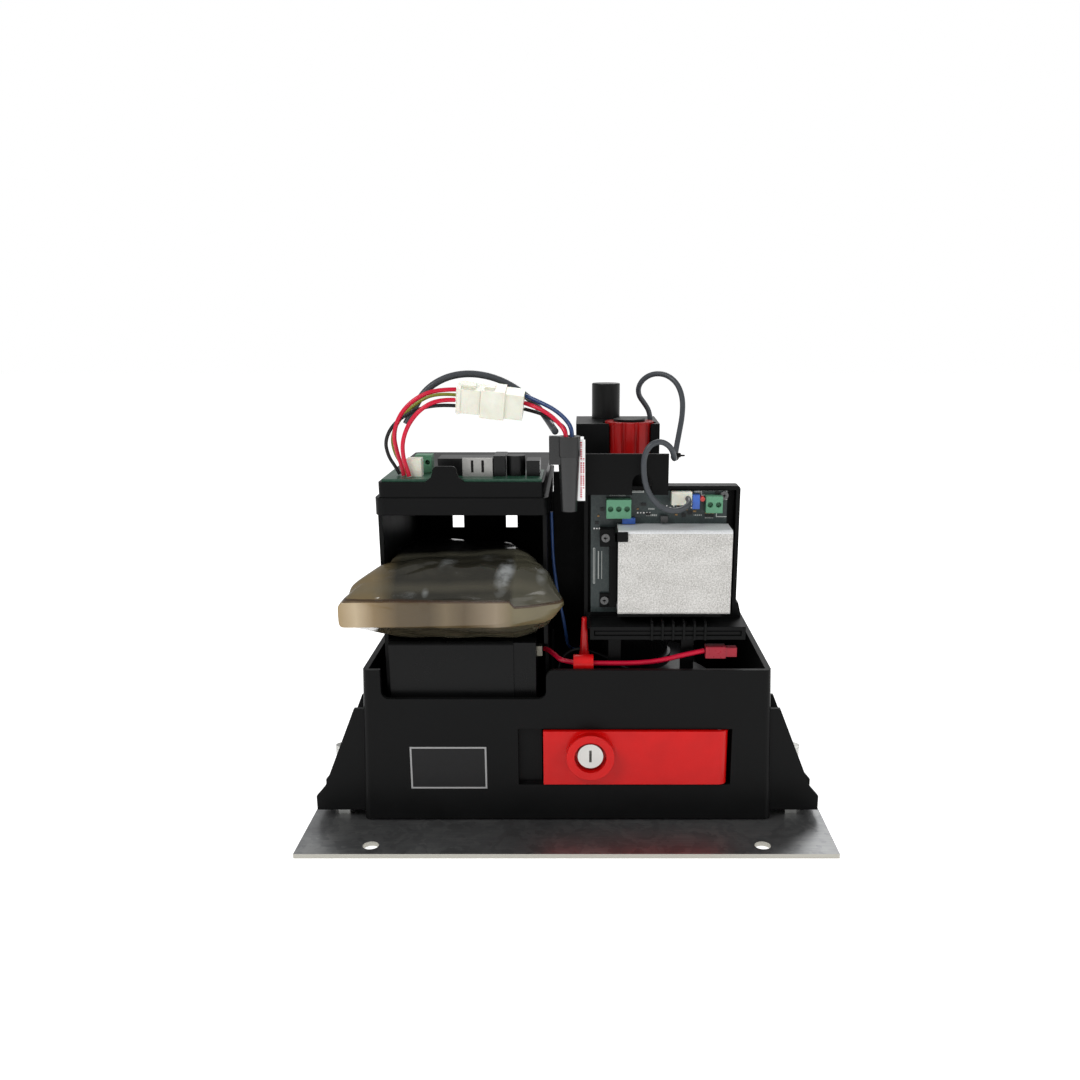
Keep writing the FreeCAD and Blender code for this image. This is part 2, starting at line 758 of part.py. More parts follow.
board_back = "charger_back_y - charger_wall - 8"
post_y = (board_back, "charger_back_y - charger_wall / 2")
pad(charger, "XZ", post_y, [], [(x, z, "5") for x in ("22", "92") for z in ("142", "205")])
round_edges(charger, "2", lambda e: along(e, "y") and e.CenterOfMass.z > v("charger_top") - 0.1)
keep(charger, "charger_tray")

board_front = f"{board_back} - board_thick"
charger_board_x = ("charger_board_left", "charger_board_right")
card_z = ("charger_low + 0.4", "charger_board_top - 1")
keep(box(charger_board_x, (board_front, board_back), card_z), "charger_board")

sink = new_body()
sink_x = ("sink_left", "sink_right")
sink_y = ("sink_front_y", board_front)
pad(sink, "XZ", sink_y, oblong(sink_x, ("sink_low", "sink_top")))
folds = lambda e: along(e, "x") and e.CenterOfMass.y < v("sink_front_y") + 0.1
round_edges(sink, "sink_thick", folds)
channel_y = ("sink_front_y + sink_thick", board_front)
channel = oblong(
    ("sink_left - 1", "sink_right + 1"), ("sink_low + sink_thick", "sink_top - sink_thick")
)
pocket(sink, "XZ", channel_y, channel)
keep(sink, "charger_heat_sink")


def on_card(x, deep, z):
    return box(x, (f"{board_front} - {deep}", board_front), z)


def block_terminal(left, ways, low, high):
    """A row of screw terminals with a round port and a wire port in each way."""
    right = f"{left} + {ways} * terminal_pitch"
    block = on_card((left, right), "8", (low, high))
    ports = []
    for n in range(ways):
        x = f"{left} + ({n} + 0.5) * terminal_pitch"
        front = f"{board_front} - 8"
        ports.append(rod("3.4", "y", x, (front, plus(front, "3")), f"({low} + {high}) / 2"))
    return cut(block, *ports)


green = [
    block_terminal("24.4", 3, "196", "207.6"),
    block_terminal("85.6", 2, "199.4", "209.6"),
]
keep(group(*green), "charger_terminals")
trimmer = on_card(("77.4", "81.8"), "6", ("201.6", "210.2"))
disc = on_card(("34.4", "42.4"), "4", ("192", "195.6"))
led = rod("3", "y", "83.6", (f"{board_front} - 5", board_front), "207.6")
regulator = on_card(("58", "62.5"), "5", ("193", "197"))
keep(group(trimmer, disc, led, regulator), "charger_components")
keep(on_card(("64.5", "77"), "6", ("204", "212")), "charger_socket")
clip = on_card(("20.5", "31"), "9", ("178.6", "189.4"))
strip = on_card(("26.5", "31"), "7", ("139.4", "178.6"))
foot = on_card(("20.5", "26.5"), "3", ("138.4", "147"))
low_bar = on_card(("31.6", "96.4"), "14", ("134.8", "138.7"))
keep(group(fuse(clip, strip, foot), low_bar), "charger_clips")


# Motor: can with two magnets, top block with the hand-wheel pocket and cover post.
def ring(outer, inner, axis, x, y, z):
    """A tube between two diameters."""
    return cut(rod(outer, axis, x, y, z), rod(inner, axis, x, y, z))


motor = ("motor_x", "motor_y")
can_z = ("motor_low", "motor_top")
can = cut(
    rod("motor_dia", "z", *motor, can_z),
    rod("motor_dia - 2 * motor_wall", "z", *motor, ("motor_low + motor_wall", "motor_top + 1")),
    rod("motor_shaft_dia + 2 * fit_gap", "z", *motor, ("motor_low - 1", "motor_low + 4")),
)
magnet_dia = "motor_dia - 2 * motor_wall"
magnet_z = ("motor_low + 16", "motor_top - 26")
magnets = ring(magnet_dia, f"{magnet_dia} - 12", "z", *motor, magnet_z)
GAP_X = ("motor_x - 9", "motor_x + 9")
ACROSS_Y = ("motor_y - motor_dia", "motor_y + motor_dia")
magnets = cut(magnets, box(GAP_X, ACROSS_Y, ("motor_low", "motor_top")))
keep(group(can, magnets), "motor_can")

wheel_pocket = "wheel_dia + 3"
bell = fuse(
    rod("motor_dia", "z", *motor, ("motor_top", "motor_top + 2")),
    rod("bell_dia", "z", *motor, ("motor_top", "block_low")),
)
block_y = ("block_front_y", "block_rear_y")
block = box(("block_left", "block_right"), block_y, ("block_low", "block_top"))
lip = box(("block_left - 5", "block_left"), block_y, ("block_top - 8", "block_top"))
shroud_y = ("block_rear_y - 3.5", "block_rear_y")
shroud = fuse(
    box(("block_left", "block_right"), shroud_y, ("shroud_low", "block_low + 1")),
    box(("shroud_left", "block_left + 1"), shroud_y, ("shroud_low", "shroud_shoulder")),
)
top_block = cut(
    fuse(bell, block, lip, shroud),
    rod(wheel_pocket, "z", *motor, ("wheel_low - 1.5", "block_top + 1")),
    rod("motor_shaft_dia + 2 * fit_gap", "z", *motor, ("motor_top - 1", "wheel_low")),
)
keep(top_block, "motor_top_block")
post_at = ("post_x", "post_y")
post = rod("post_dia", "z", *post_at, ("block_top", "post_end"))
post_rim = lambda e: e.CenterOfMass.z > v("post_end") - 0.1 and e.Length > 10
keep(fillet(post, 0.8, post_rim), "cover_post")

panel_y = ("panel_front_y", "panel_front_y + panel_thick")
panel_plate = box(("panel_left", "panel_right"), panel_y, ("panel_low", "panel_top"))
panel_shelf = box(("24", "50"), (panel_y[1], "block_front_y"), ("block_low + 0.5", "block_low + 3.5"))
arch_y = ("panel_front_y - 1", "panel_front_y + panel_thick + 1")
arch = fuse(
    rod("12", "y", "46", arch_y, "218"),
    box(("40", "52"), arch_y, ("panel_low - 1", "218")),
)
keep(cut(fuse(panel_plate, panel_shelf), arch), "front_panel")

# Rotor: shaft with the worm cut on it, laminated core and commutator.
WORM_STARTS = 1
WORM_TURNS = 5


def worm_thread():
    """The worm's single thread as a trapezoid swept up a helix."""
    module, radius = v("gear_module"), v("worm_pitch_dia") / 2
    lead = math.pi * module * WORM_STARTS
    half = (lead / 2 - v("gear_thin")) / 2
    slope = math.tan(math.radians(20))
    root, tip = radius - 1.25 * module, radius + module
    sunk = root - 0.4
    wide, slim = half + (radius - sunk) * slope, half - module * slope
    corners = [(sunk, -wide), (tip, -slim), (tip, slim), (sunk, wide)]
    points = [Vector(r, 0, rise) for r, rise in corners]
    helix = Part.Wire(Part.makeHelix(lead, lead * WORM_TURNS, radius).Edges)
    return helix.makePipeShell([Part.makePolygon(points + points[:1])], True, True)


worm_root = "worm_pitch_dia - 2.5 * gear_module"
worm_z = ("output_z - worm_long / 2", "output_z + worm_long / 2")
shaft = rod("motor_shaft_dia", "z", *motor, (plus(tub_bed, "9"), "wheel_top - 0.3"))
worm_core = rod(worm_root, "z", *motor, worm_z)
thread = shaped(worm_thread())
half_worm = math.pi * WORM_STARTS * WORM_TURNS / 2
places = ("motor_x", "motor_y", f"output_z - gear_module * {half_worm:.6f}")
for axis, place in zip("xyz", places):
    thread.setExpression(f"Placement.Base.{axis}", formula(place))
keep(fuse(shaft, worm_core, thread), "worm_shaft")

core_bore = "motor_shaft_dia + 2 * shaft_gap"
core_dia = f"{magnet_dia} - 12 - 4"
core_z = ("motor_low + 18", "motor_top - 28")
slots = []
SLOTS = 10
for n in range(SLOTS):
    spoke = doc.addObject("Part::Box", "Slot")
    spoke.setExpression("Length", formula(core_dia))
    spoke.Width = 3
    spoke.setExpression("Height", formula("motor_top - motor_low"))
    turn = Rotation(Vector(0, 0, 1), 360 * n / SLOTS)
    centre = Vector(v("motor_x"), v("motor_y"), v("motor_low"))
    spoke.Placement = Placement(centre, turn, Vector(0, 0, 0)) * Placement(Vector(12, -1.5, 0), Rotation())
    slots.append(spoke)
core = cut(ring(core_dia, core_bore, "z", *motor, core_z), *slots)
commutator = ring("18", core_bore, "z", *motor, (plus(core_z[1], "4"), plus(core_z[1], "16")))
keep(group(core, commutator), "motor_armature")

hand_wheel = ring("wheel_dia", core_bore, "z", *motor, ("wheel_low", "wheel_top"))
flutes = []
FLUTES = 12
for n in range(FLUTES):
    angle = 2 * math.pi * (n + 0.5) / FLUTES
    x = f"motor_x + wheel_dia / 2 * {math.cos(angle):.6f}"
    y = f"motor_y + wheel_dia / 2 * {math.sin(angle):.6f}"
    flutes.append(rod("flute_dia", "z", x, y, ("wheel_low - 1", "wheel_top + 1")))
keep(cut(hand_wheel, *flutes), "hand_wheel")
keep(rod("disc_dia", "z", *motor, ("wheel_top", "wheel_top + disc_thick")), "encoder_disc")


# Worm wheel and rack pinion: involute teeth about an axis along Y.
PRESSURE = math.radians(20)


def involute(angle):
    return math.tan(angle) - angle


def gear_wire(module, teeth, thin, tip, root, y, turn):
    """A closed outline with involute flanks, square to the output shaft."""
    pitch = module * teeth / 2
    base = pitch * math.cos(PRESSURE)
    half = (math.pi * module / 2 - thin) / (2 * pitch)
    start = max(base, root) + 0.01
    steps = 4
    flank = []
    for k in range(steps):
        radius = start + (tip - start) * k / (steps - 1)
        spread = half + involute(PRESSURE) - involute(math.acos(base / radius))
        flank.append((radius, spread))
    if root < start:
        flank.insert(0, (root, flank[0][1]))
    points = []
    for n in range(teeth):
        middle = turn + 2 * math.pi * n / teeth
        for radius, spread in flank:
            points.append((radius, middle - spread))
        for radius, spread in reversed(flank):
            points.append((radius, middle + spread))
    x, z = size(output_x), v("output_z")
    corners = [Vector(x + r * math.cos(a), y, z + r * math.sin(a)) for r, a in points]
    return Part.makePolygon(corners + corners[:1])


def worm_wheel_rim():
    """Teeth twisted along the wheel's width to lie along the worm's thread."""
    module, teeth = v("gear_module"), int(v("wheel_teeth"))
    pitch = module * teeth / 2
    lead_slope = module * WORM_STARTS / v("worm_pitch_dia")
    wires = []
    for side in (-1, 1):
        y = side * v("gear_wide") / 2
        turn = math.pi - y * lead_slope / pitch
        tip, root = pitch + module * 0.95, pitch - 1.15 * module
        wires.append(gear_wire(module, teeth, v("gear_thin"), tip, root, v("motor_y") + y, turn))
    return Part.makeLoft(wires, True, True)


output = (output_x, "output_z")


def on_output(dia, low, high):
    """A cylinder about the output shaft."""
    return rod(dia, "y", output[0], (low, high), output[1])


wheel_front = "motor_y - gear_wide / 2"
hub_front = f"{wheel_front} - 2.5"
hub_rear = "motor_y + gear_wide / 2 + 2"
rim = shaped(worm_wheel_rim())
hub = on_output("36", hub_front, hub_rear)
wheel_bore = on_output("output_dia + 2 * shaft_gap", plus(hub_front, "-1"), plus(hub_rear, "1"))
ring_inner, ring_outer = "output_dia + 2 * fit_gap", "33"
dog_deep = 3.0
dog_slots = [
    box(
        (f"{output[0]} - 20", f"{output[0]} + 20"),
        (plus(hub_front, "-1"), plus(hub_front, str(dog_deep + 0.5))),
        ("output_z - 4", "output_z + 4"),
    )
]
keep(cut(fuse(rim, hub), wheel_bore, *dog_slots), "worm_wheel")

ring_span = (plus(hub_front, "-7.5"), plus(hub_front, "-0.5"))
clutch_ring = cut(on_output(ring_outer, *ring_span), on_output(ring_inner, *ring_span))
dogs = []
for side in (-1, 1):
    inner = f"{output[0]} + {side} * 11"
    outer = f"{output[0]} + {side} * 16"
    span = (inner, outer) if side > 0 else (outer, inner)
    reach = (plus(ring_span[1], "-1"), plus(hub_front, str(dog_deep)))
    dogs.append(box(span, reach, ("output_z - 3.4", "output_z + 3.4")))
pin_y = f"({ring_span[0]} + {ring_span[1]}) / 2"
cross_pin = rod("4", "z", output[0], pin_y, ("output_z - 15", "output_z + 15"))
plunger_front = f"{lever_back} + fit_gap"
plunger = on_output("plunger_dia", plunger_front, plus(ring_span[1], "-1"))
keep(fuse(clutch_ring, cross_pin, plunger, *dogs), "release_clutch")

shaft_front = "case_front_y + 1"
shaft_rear = "case_rear_y + 6 + pinion_wide"
collar = on_output("output_dia + 6", plus(hub_rear, "0.3"), plus(hub_rear, "6"))
key = box(
    (f"{output[0]} - 3", f"{output[0]} + 3"),
    ("case_rear_y + 8", "case_rear_y + 4 + pinion_wide"),
    ("output_z", "output_z + output_dia / 2 + 2.8"),
)
pin_slot = box(
    (f"{output[0]} - 2.3", f"{output[0]} + 2.3"),
    (f"{pin_y} - clutch_travel - 2.6", f"{pin_y} + 2.6"),
    ("output_z - output_dia", "output_z + output_dia"),
)
plunger_bore = on_output(
    "plunger_dia + 2 * fit_gap", plus(shaft_front, "-1"), plus(ring_span[1], "2")
)
screw_bore = on_output("8.1", plus(shaft_rear, "-20"), plus(shaft_rear, "1"))
spindle = cut(
    fuse(on_output("output_dia", shaft_front, shaft_rear), collar, key),
    plunger_bore,
    pin_slot,
    screw_bore,
)
keep(spindle, "output_shaft")


def pinion_blank():
    module, teeth = v("rack_module"), int(v("pinion_teeth"))
    pitch = module * teeth / 2
    y = v("case_rear_y") + 6
    wire = gear_wire(module, teeth, 0.3, pitch + module, pitch - 1.25 * module, y, 0)
    return Part.Face(wire).extrude(Vector(0, v("pinion_wide"), 0))


pinion_y = ("case_rear_y + 6", "case_rear_y + 6 + pinion_wide")
keyway = box(
    (f"{output[0]} - 3.1", f"{output[0]} + 3.1"),
    (plus(pinion_y[0], "-1"), plus(pinion_y[1], "1")),
    ("output_z", "output_z + output_dia / 2 + 3"),
)
pinion_bore = on_output("output_dia + 2 * shaft_gap", *pinion_y)
keep(cut(shaped(pinion_blank()), pinion_bore, keyway), "drive_pinion")
washer = on_output("28", pinion_y[1], plus(pinion_y[1], "3"))
head = on_output("13", plus(pinion_y[1], "3"), plus(pinion_y[1], "10"))
shank = on_output("8", plus(shaft_rear, "-19"), plus(pinion_y[1], "4"))
socket = on_output("6", plus(pinion_y[1], "6"), plus(pinion_y[1], "11"))
keep(cut(fuse(washer, head, shank), socket), "pinion_screw")

# Gearbox: cast housing with a front cover, bearings and seal.
chamber_dia = "gear_module * wheel_teeth + 2 * gear_module + 2 * case_gap"
case_dia = f"{chamber_dia} + 2 * case_wall"
tube_dia = "bearing_dia + 2 * case_wall"
seat_dia = "bearing_dia + 2 * shaft_gap"
worm_seat_dia = "small_bearing_dia + 2 * shaft_gap"
low_bearing_z = (plus(tub_bed, "8"), f"{tub_bed} + 8 + small_bearing_wide")
high_bearing_z = ("motor_low - 16", "motor_low - 16 + small_bearing_wide")
case_body = fuse(
    on_output(case_dia, "case_split_y", plus(hub_rear, "6")),
    on_output(tube_dia, "motor_y", "case_rear_y"),
    rod("small_bearing_dia + 2 * case_wall", "z", *motor, (tub_bed, "motor_low")),
    rod("motor_dia + 4", "z", *motor, ("motor_low - 6", "motor_low")),
    box(
        (f"{output[0]} - 25", f"{output[0]} + 25"),
        ("case_split_y + 6", "case_rear_y - 20"),
        (tub_bed, "output_z - bearing_dia / 2"),
    ),
)
case = cut(
    case_body,
    on_output(chamber_dia, "case_split_y - 1", plus(hub_rear, "1")),
    on_output("bearing_dia - 10", "motor_y", "case_rear_y + 1"),
    on_output(seat_dia, "case_rear_y - 6 - bearing_wide", "case_rear_y + 1"),
    rod(worm_seat_dia, "z", *motor, (low_bearing_z[0], "motor_low + 1")),
    rod("small_bearing_dia + 4", "z", *motor, (plus(low_bearing_z[1], "0.5"), plus(high_bearing_z[0], "-0.5"))),
)
keep(case, "gearbox_housing")

cover = fuse(
    on_output(case_dia, "case_split_y - 4", "case_split_y"),
    on_output(tube_dia, "case_front_y", "case_split_y - 4"),
)
cover = cut(
    cover,
    on_output(seat_dia, "case_front_y + 3", "case_split_y + 1"),
    on_output("output_dia + 1", "case_front_y - 1", "case_split_y"),
)
keep(cover, "gearbox_cover")

front_bearing_y = ("case_front_y + 3", "case_front_y + 3 + bearing_wide")
rear_bearing_y = ("case_rear_y - 6 - bearing_wide", "case_rear_y - 6")
bearings = [
    cut(on_output("bearing_dia", *span), on_output("output_dia + 2 * shaft_gap", *span))
    for span in (front_bearing_y, rear_bearing_y)
]
bearings += [
    ring("small_bearing_dia", core_bore, "z", *motor, span)
    for span in (low_bearing_z, high_bearing_z)
]
keep(group(*bearings), "gearbox_bearings")
seal_y = ("case_rear_y - 6 + fit_gap", "case_rear_y")
seal = cut(on_output("bearing_dia", *seal_y), on_output("output_dia + 2 * fit_gap", *seal_y))
keep(seal, "output_seal")

# Inline sleeve on the motor leads, red boots on their post.
sleeve_at = ("sleeve_x", "sleeve_y")
sleeve_z = ("sleeve_low", "sleeve_top")
tube = fuse(
    taper("sleeve_slim_dia", "sleeve_wide_dia - 0.8", "z", *sleeve_at, ("sleeve_low", "sleeve_seam")),
    rod("sleeve_wide_dia", "z", *sleeve_at, ("sleeve_seam", "sleeve_top")),
)
clamp_y = ("sleeve_y - 3.5", "sleeve_y + 3.5")
clamp = box(("sleeve_x - 11.7", "sleeve_x"), clamp_y, ("sleeve_top - 16.5", "sleeve_top"))
sleeve = cut(
    fuse(tube, clamp),
    rod("sleeve_bore", "z", *sleeve_at, ("sleeve_seam - 8", "sleeve_top + 1")),
    rod("sleeve_bore * 0.7", "z", *sleeve_at, ("sleeve_low - 1", "sleeve_seam")),
)
keep(sleeve, "fuse_sleeve")
boot_line = ("-68.4", "boot_seat + boot_dia / 2")
boot = cut(
    rod("boot_dia", "x", ("4", "16.5"), *boot_line),
    rod("4.2", "x", ("3", "18"), *boot_line),
)
cone = fuse(
    taper("8", "6.4", "z", "10.8", "-56", ("boot_seat", "boot_seat + 9")),
    taper("5.6", "3.2", "z", "10.8", "-56", ("boot_seat + 9", "boot_seat + 32")),
)
keep(group(boot, cone), "terminal_boots")


# Clear pouch lying on the battery and out over the tub's edge.
def pouch_section(y, left, right, low, high):
    """An eight-cornered outline across the pouch."""
    bevel_x, bevel_z = (right - left) * 0.12, (high - low) * 0.3
    corners = [
        (left + bevel_x, low),
        (right - bevel_x, low),
        (right, low + bevel_z),
        (right, high - bevel_z),
        (right - bevel_x, high),
        (left + bevel_x, high),
        (left, high - bevel_z),
        (left, low + bevel_z),
    ]
    points = [Vector(x, y, z) for x, z in corners]
    return Part.makePolygon(points + points[:1])


rest = v("battery_low") + v("battery_tall") + 0.4
bay_left = v("frame_left") + v("frame_wall") + 0.8
bay_right = v("frame_right") - v("frame_wall") - 0.8
pouch_sections = [
    (-102, -134.5, -14, rest + 16.5, rest + 32.5),
    (-84, -130, -2, rest + 8, rest + 42),
    (-68, bay_left, bay_right, rest, rest + 49),
    (-25, bay_left + 2, bay_right - 5, rest, rest + 56),
    (20, bay_left + 8, bay_right - 15, rest, rest + 34),
]
pouch = Part.makeLoft([pouch_section(*row) for row in pouch_sections], True, True)
keep(shaped(pouch), "oil_pouch")


# White two-part plug in the leads, tilted and rolled as it hangs in them.
PLUG = Placement(Vector(-46, -50, 266.5), Rotation(Vector(0, 1, 0), 6.5))
PLUG = PLUG * Placement(Vector(), Rotation(Vector(1, 0, 0), 17))


def plug_box(x, y, z):
    """A block in the plug's own frame, X along the leads."""
    obj = doc.addObject("Part::Box", "PlugBlock")
    obj.Length, obj.Width, obj.Height = (high - low for low, high in (x, y, z))
    obj.Placement = PLUG * Placement(Vector(x[0], y[0], z[0]), Rotation())
    return obj


plug_left = fuse(
    plug_box((-20.2, -5.8), (-6, 6), (-7.6, 7.6)),
    plug_box((-6.5, 4), (-5, 5), (-6.4, 6.4)),
    plug_box((-17, -9), (-3.5, 3.5), (7, 9.6)),
    plug_box((-19.4, -17.5), (-6.5, 6.5), (-8.1, 8.1)),
)
keep(plug_left, "connector_left")
plug_right = cut(
    fuse(
        plug_box((-5.5, 9), (-7.2, 7.2), (-8.8, 8.8)),
        plug_box((8.5, 20.2), (-6.3, 6.3), (-7.8, 7.8)),
        plug_box((-3.5, 2.5), (-3.8, 3.8), (8, 10)),
    ),
    plug_box((-6, 5), (-5.4, 5.4), (-6.8, 6.8)),
)
keep(plug_right, "connector_right")
spade = fuse(
    box(("86.5", "99"), ("-73", "-65"), ("110.5", "117.7")),
    box(("98.5", "106"), ("-72.2", "-65.8"), ("111.3", "116.9")),
)
keep(spade, "spade_connector")


# Loose leads: straight runs joined by arcs.
def cord(label, dia, points):
    """A round lead along a line of points, its turns eased with arcs."""
    places = [Vector(*point) for point in points]
    edges = []
    start = places[0]
    tightest = math.inf
    for before, corner, after in zip(places, places[1:], places[2:]):
        into, out = corner - before, after - corner
        reach = 0.45 * min(into.Length, out.Length)
        half_turn = into.getAngle(out) / 2
        radius = reach / math.tan(half_turn)
        tightest = min(tightest, radius)
        into.normalize()
        out.normalize()
        arc_from, arc_to = corner - into * reach, corner + out * reach
        inward = (out - into).normalize()
        middle = corner + inward * (radius / math.cos(half_turn) - radius)
        edges.append(Part.LineSegment(start, arc_from).toShape())
        edges.append(Part.Arc(arc_from, middle, arc_to).toShape())
        start = arc_to
    edges.append(Part.LineSegment(start, places[-1]).toShape())
    spine = Part.Wire(edges)
    ring_wire = Part.Wire(Part.Circle(places[0], places[1] - places[0], dia / 2).toShape())
    lead = spine.makePipeShell([ring_wire], True, False)
    share = lead.Volume / (math.pi * dia * dia / 4 * spine.Length)
    print(f"{label}: length {spine.Length:.1f}, radius {tightest:.1f}, volume {share:.4f}")
    keep(shaped(lead), label)


LEADS = {
    "wire_black": (2.2, [
        (-67.1, -49, 263.6), (-78.3, -51, 264.5), (-92.6, -52, 261), (-104.8, -51, 253.5),
        (-111, -50, 243), (-109.5, -50, 233.5), (-105, -50, 226.5), (-102.8, -50, 222.3),
    ]),
    "wire_red_upper": (2.6, [
        (-66, -53, 273.5), (-78, -54.5, 273.6), (-90.5, -56, 268.6), (-100, -56.5, 259.4),
        (-104.6, -56, 247.5), (-103, -55, 236), (-100.6, -54.5, 228), (-99.6, -54.5, 222.1),
    ]),
    "wire_green": (2.0, [
        (-66.4, -46.5, 269.8), (-78.6, -46, 271), (-90.6, -46, 265.8), (-101.6, -46, 256.2),
        (-107.6, -46, 245.2), (-106.2, -46, 234.6), (-101.6, -46, 227), (-99.5, -45.8, 222.2),
    ]),
    "wire_red_lower": (2.6, [
        (-66.7, -55, 267.5), (-76, -58.5, 268), (-86.5, -60, 263), (-94.6, -60, 253.8),
        (-98.8, -60, 243), (-98.6, -59.5, 233), (-96.6, -59, 226.5), (-95.6, -59, 222.2),
    ]),
    "cable_sheath": (4.2, [
        (-98.6, -44, 252.2), (-94.2, -42, 260.5), (-87, -38, 272.2), (-75.3, -36, 279.6),
        (-61.9, -34, 282.2), (-48.4, -34, 280.7), (-36.1, -36, 276.3), (-24.3, -38, 268.5),
        (-15.5, -43, 260), (-10.5, -51, 254), (-8, -60, 251.2), (-6.5, -67.5, 250.1),
    ]),
    "wire_blue": (2.6, [
        (-24.7, -47.5, 269.3), (-17.2, -51, 266.5), (-7.5, -57, 262.3), (-1, -62, 257.5),
        (3, -66.6, 252.5), (3.6, -68.1, 246), (3.6, -68.2, 240),
    ]),
    "wire_red_right": (2.6, [
        (-25.3, -50, 265.3), (-17.1, -54, 262.9), (-9.2, -60, 258.7), (-4.6, -66, 255),
        (-0.8, -69.8, 251), (0.4, -71.4, 245.5), (0.4, -71.5, 240),
    ]),
    "wire_black_right": (2.2, [
        (-25.7, -46, 261.4), (-17.9, -49, 259.8), (-11, -54.5, 257.5), (-5.5, -60, 255),
        (-0.6, -66, 252), (0.2, -67.4, 246), (0.2, -67.5, 240),
    ]),
    "sensor_cable": (3.4, [
        (54.6, 9.5, 250.2), (54, 9.2, 255.5), (50.4, 6, 261), (46.2, 2, 266.4),
        (45.8, -2, 272.5), (49.5, -5.5, 278), (56, -9, 281), (63.5, -13, 280.2),
        (69.8, -18, 275), (72.6, -25, 266.5), (72, -32, 256.5), (69.6, -40, 247),
        (67.2, -49, 238.5), (65.4, -58, 232), (64.6, -66, 235.2), (61.8, -71, 241.6),
        (55.6, -73.4, 245.2), (49.2, -74.2, 242.8), (46, -74.5, 236.2),
        (45.8, -74.5, 228.6), (46.8, -74.4, 220.4), (49.8, -74, 213), (54.8, -73, 207),
        (61.2, -71.6, 203.4), (68, -69.4, 203), (73.6, -65.8, 205.2),
        (75, -61, 207.4), (74.4, -56.5, 208.2),
    ]),
    "battery_lead_red": (3.2, [
        (-14.4, -49.6, 109.6), (-9.6, -58, 110.2), (-3, -68, 106.2), (26, -68.6, 105.8),
        (46, -69.2, 106.2), (60.3, -69.3, 108.2), (74, -69, 111.8), (86.1, -69, 114.4),
    ]),
    "battery_lead_black": (2.4, [
        (-15.2, -49.8, 68.4), (-9.6, -50.5, 73), (-6.6, -50, 82), (-6.2, -48.5, 93),
        (-4, -46.5, 102.5), (3, -45, 107.5), (12.5, -44.6, 107.4), (23, -45.4, 103.6),
        (32, -46, 98), (38, -44.4, 94), (39.6, -38.7, 93),
    ]),
    "drop_wire_blue": (2.0, [
        (-9.8, -45, 198), (-9.6, -45, 186), (-9, -45, 167), (-6.6, -45, 147.4),
        (-3.5, -44.4, 133), (-1.4, -42, 120), (-0.4, -37.5, 109.5), (2.4, -30, 103),
        (7, -22, 100.6), (12, -16, 100),
    ]),
}
for label, (dia, points) in LEADS.items():
    cord(label, dia, points)


# Check every object, then write one file for each sub-part.
doc.recompute()
for obj in doc.Objects:
    if {"Invalid", "Error"} & set(obj.State):
        raise RuntimeError(f"{obj.Name} ({obj.Label}) failed: {obj.State}")
for obj in SUBPARTS:
    if obj.Shape.isNull() or not obj.Shape.isValid():
        raise RuntimeError(f"{obj.Label} has no valid shape")

os.makedirs("parts", exist_ok=True)
for obj in SUBPARTS:
    obj.Shape.exportStep(f"parts/{obj.Label}.step")
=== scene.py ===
"""Sliding gate motor with its cover off: finishes, leads and small fittings."""
import json
import math

import bmesh
import bpy
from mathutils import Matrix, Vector, noise


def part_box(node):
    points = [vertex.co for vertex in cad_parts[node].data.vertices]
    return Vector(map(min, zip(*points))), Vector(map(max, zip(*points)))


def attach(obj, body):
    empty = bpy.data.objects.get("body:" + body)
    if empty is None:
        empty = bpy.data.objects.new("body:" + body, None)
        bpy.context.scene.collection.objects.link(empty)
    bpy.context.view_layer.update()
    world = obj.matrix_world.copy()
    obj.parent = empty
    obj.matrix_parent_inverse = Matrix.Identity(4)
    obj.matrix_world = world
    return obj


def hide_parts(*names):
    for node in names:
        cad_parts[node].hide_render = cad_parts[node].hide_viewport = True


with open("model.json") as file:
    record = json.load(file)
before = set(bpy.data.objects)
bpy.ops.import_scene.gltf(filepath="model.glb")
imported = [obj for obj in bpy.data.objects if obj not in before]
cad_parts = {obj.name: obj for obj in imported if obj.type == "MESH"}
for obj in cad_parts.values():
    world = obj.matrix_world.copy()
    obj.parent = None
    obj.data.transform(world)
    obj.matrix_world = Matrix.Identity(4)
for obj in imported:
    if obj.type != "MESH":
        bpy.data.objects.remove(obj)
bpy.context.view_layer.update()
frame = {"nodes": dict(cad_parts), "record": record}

NODES = frame["nodes"]
ROOT = "frame"
MM = 0.001


def mm(*values):
    """A point given in millimetres."""
    return Vector([value * MM for value in values])


# ---------------------------------------------------------------- shader kit
class Number:
    """A number socket that can be used in sums."""

    def __init__(self, finish, socket):
        self.finish, self.socket = finish, socket

    def sum(self, operation, *others):
        return self.finish.add("Math", {"operation": operation}, [self, *others])

    def __add__(self, other):
        return self.sum("ADD", other)

    def __sub__(self, other):
        return self.sum("SUBTRACT", other)

    def __mul__(self, other):
        return self.sum("MULTIPLY", other)

    def __truediv__(self, other):
        return self.sum("DIVIDE", other)

    def __rsub__(self, other):
        return self.finish.add("Math", {"operation": "SUBTRACT"}, [other, self])

    __radd__, __rmul__ = __add__, __mul__

    def above(self, edge):
        return self.sum("GREATER_THAN", edge)

    def below(self, edge):
        return self.sum("LESS_THAN", edge)

    def between(self, low, high):
        return self.above(low) * self.below(high)

    def either(self, other):
        return self.sum("MAXIMUM", other)

    def clamp(self):
        return self.finish.add("Clamp", {}, [self])


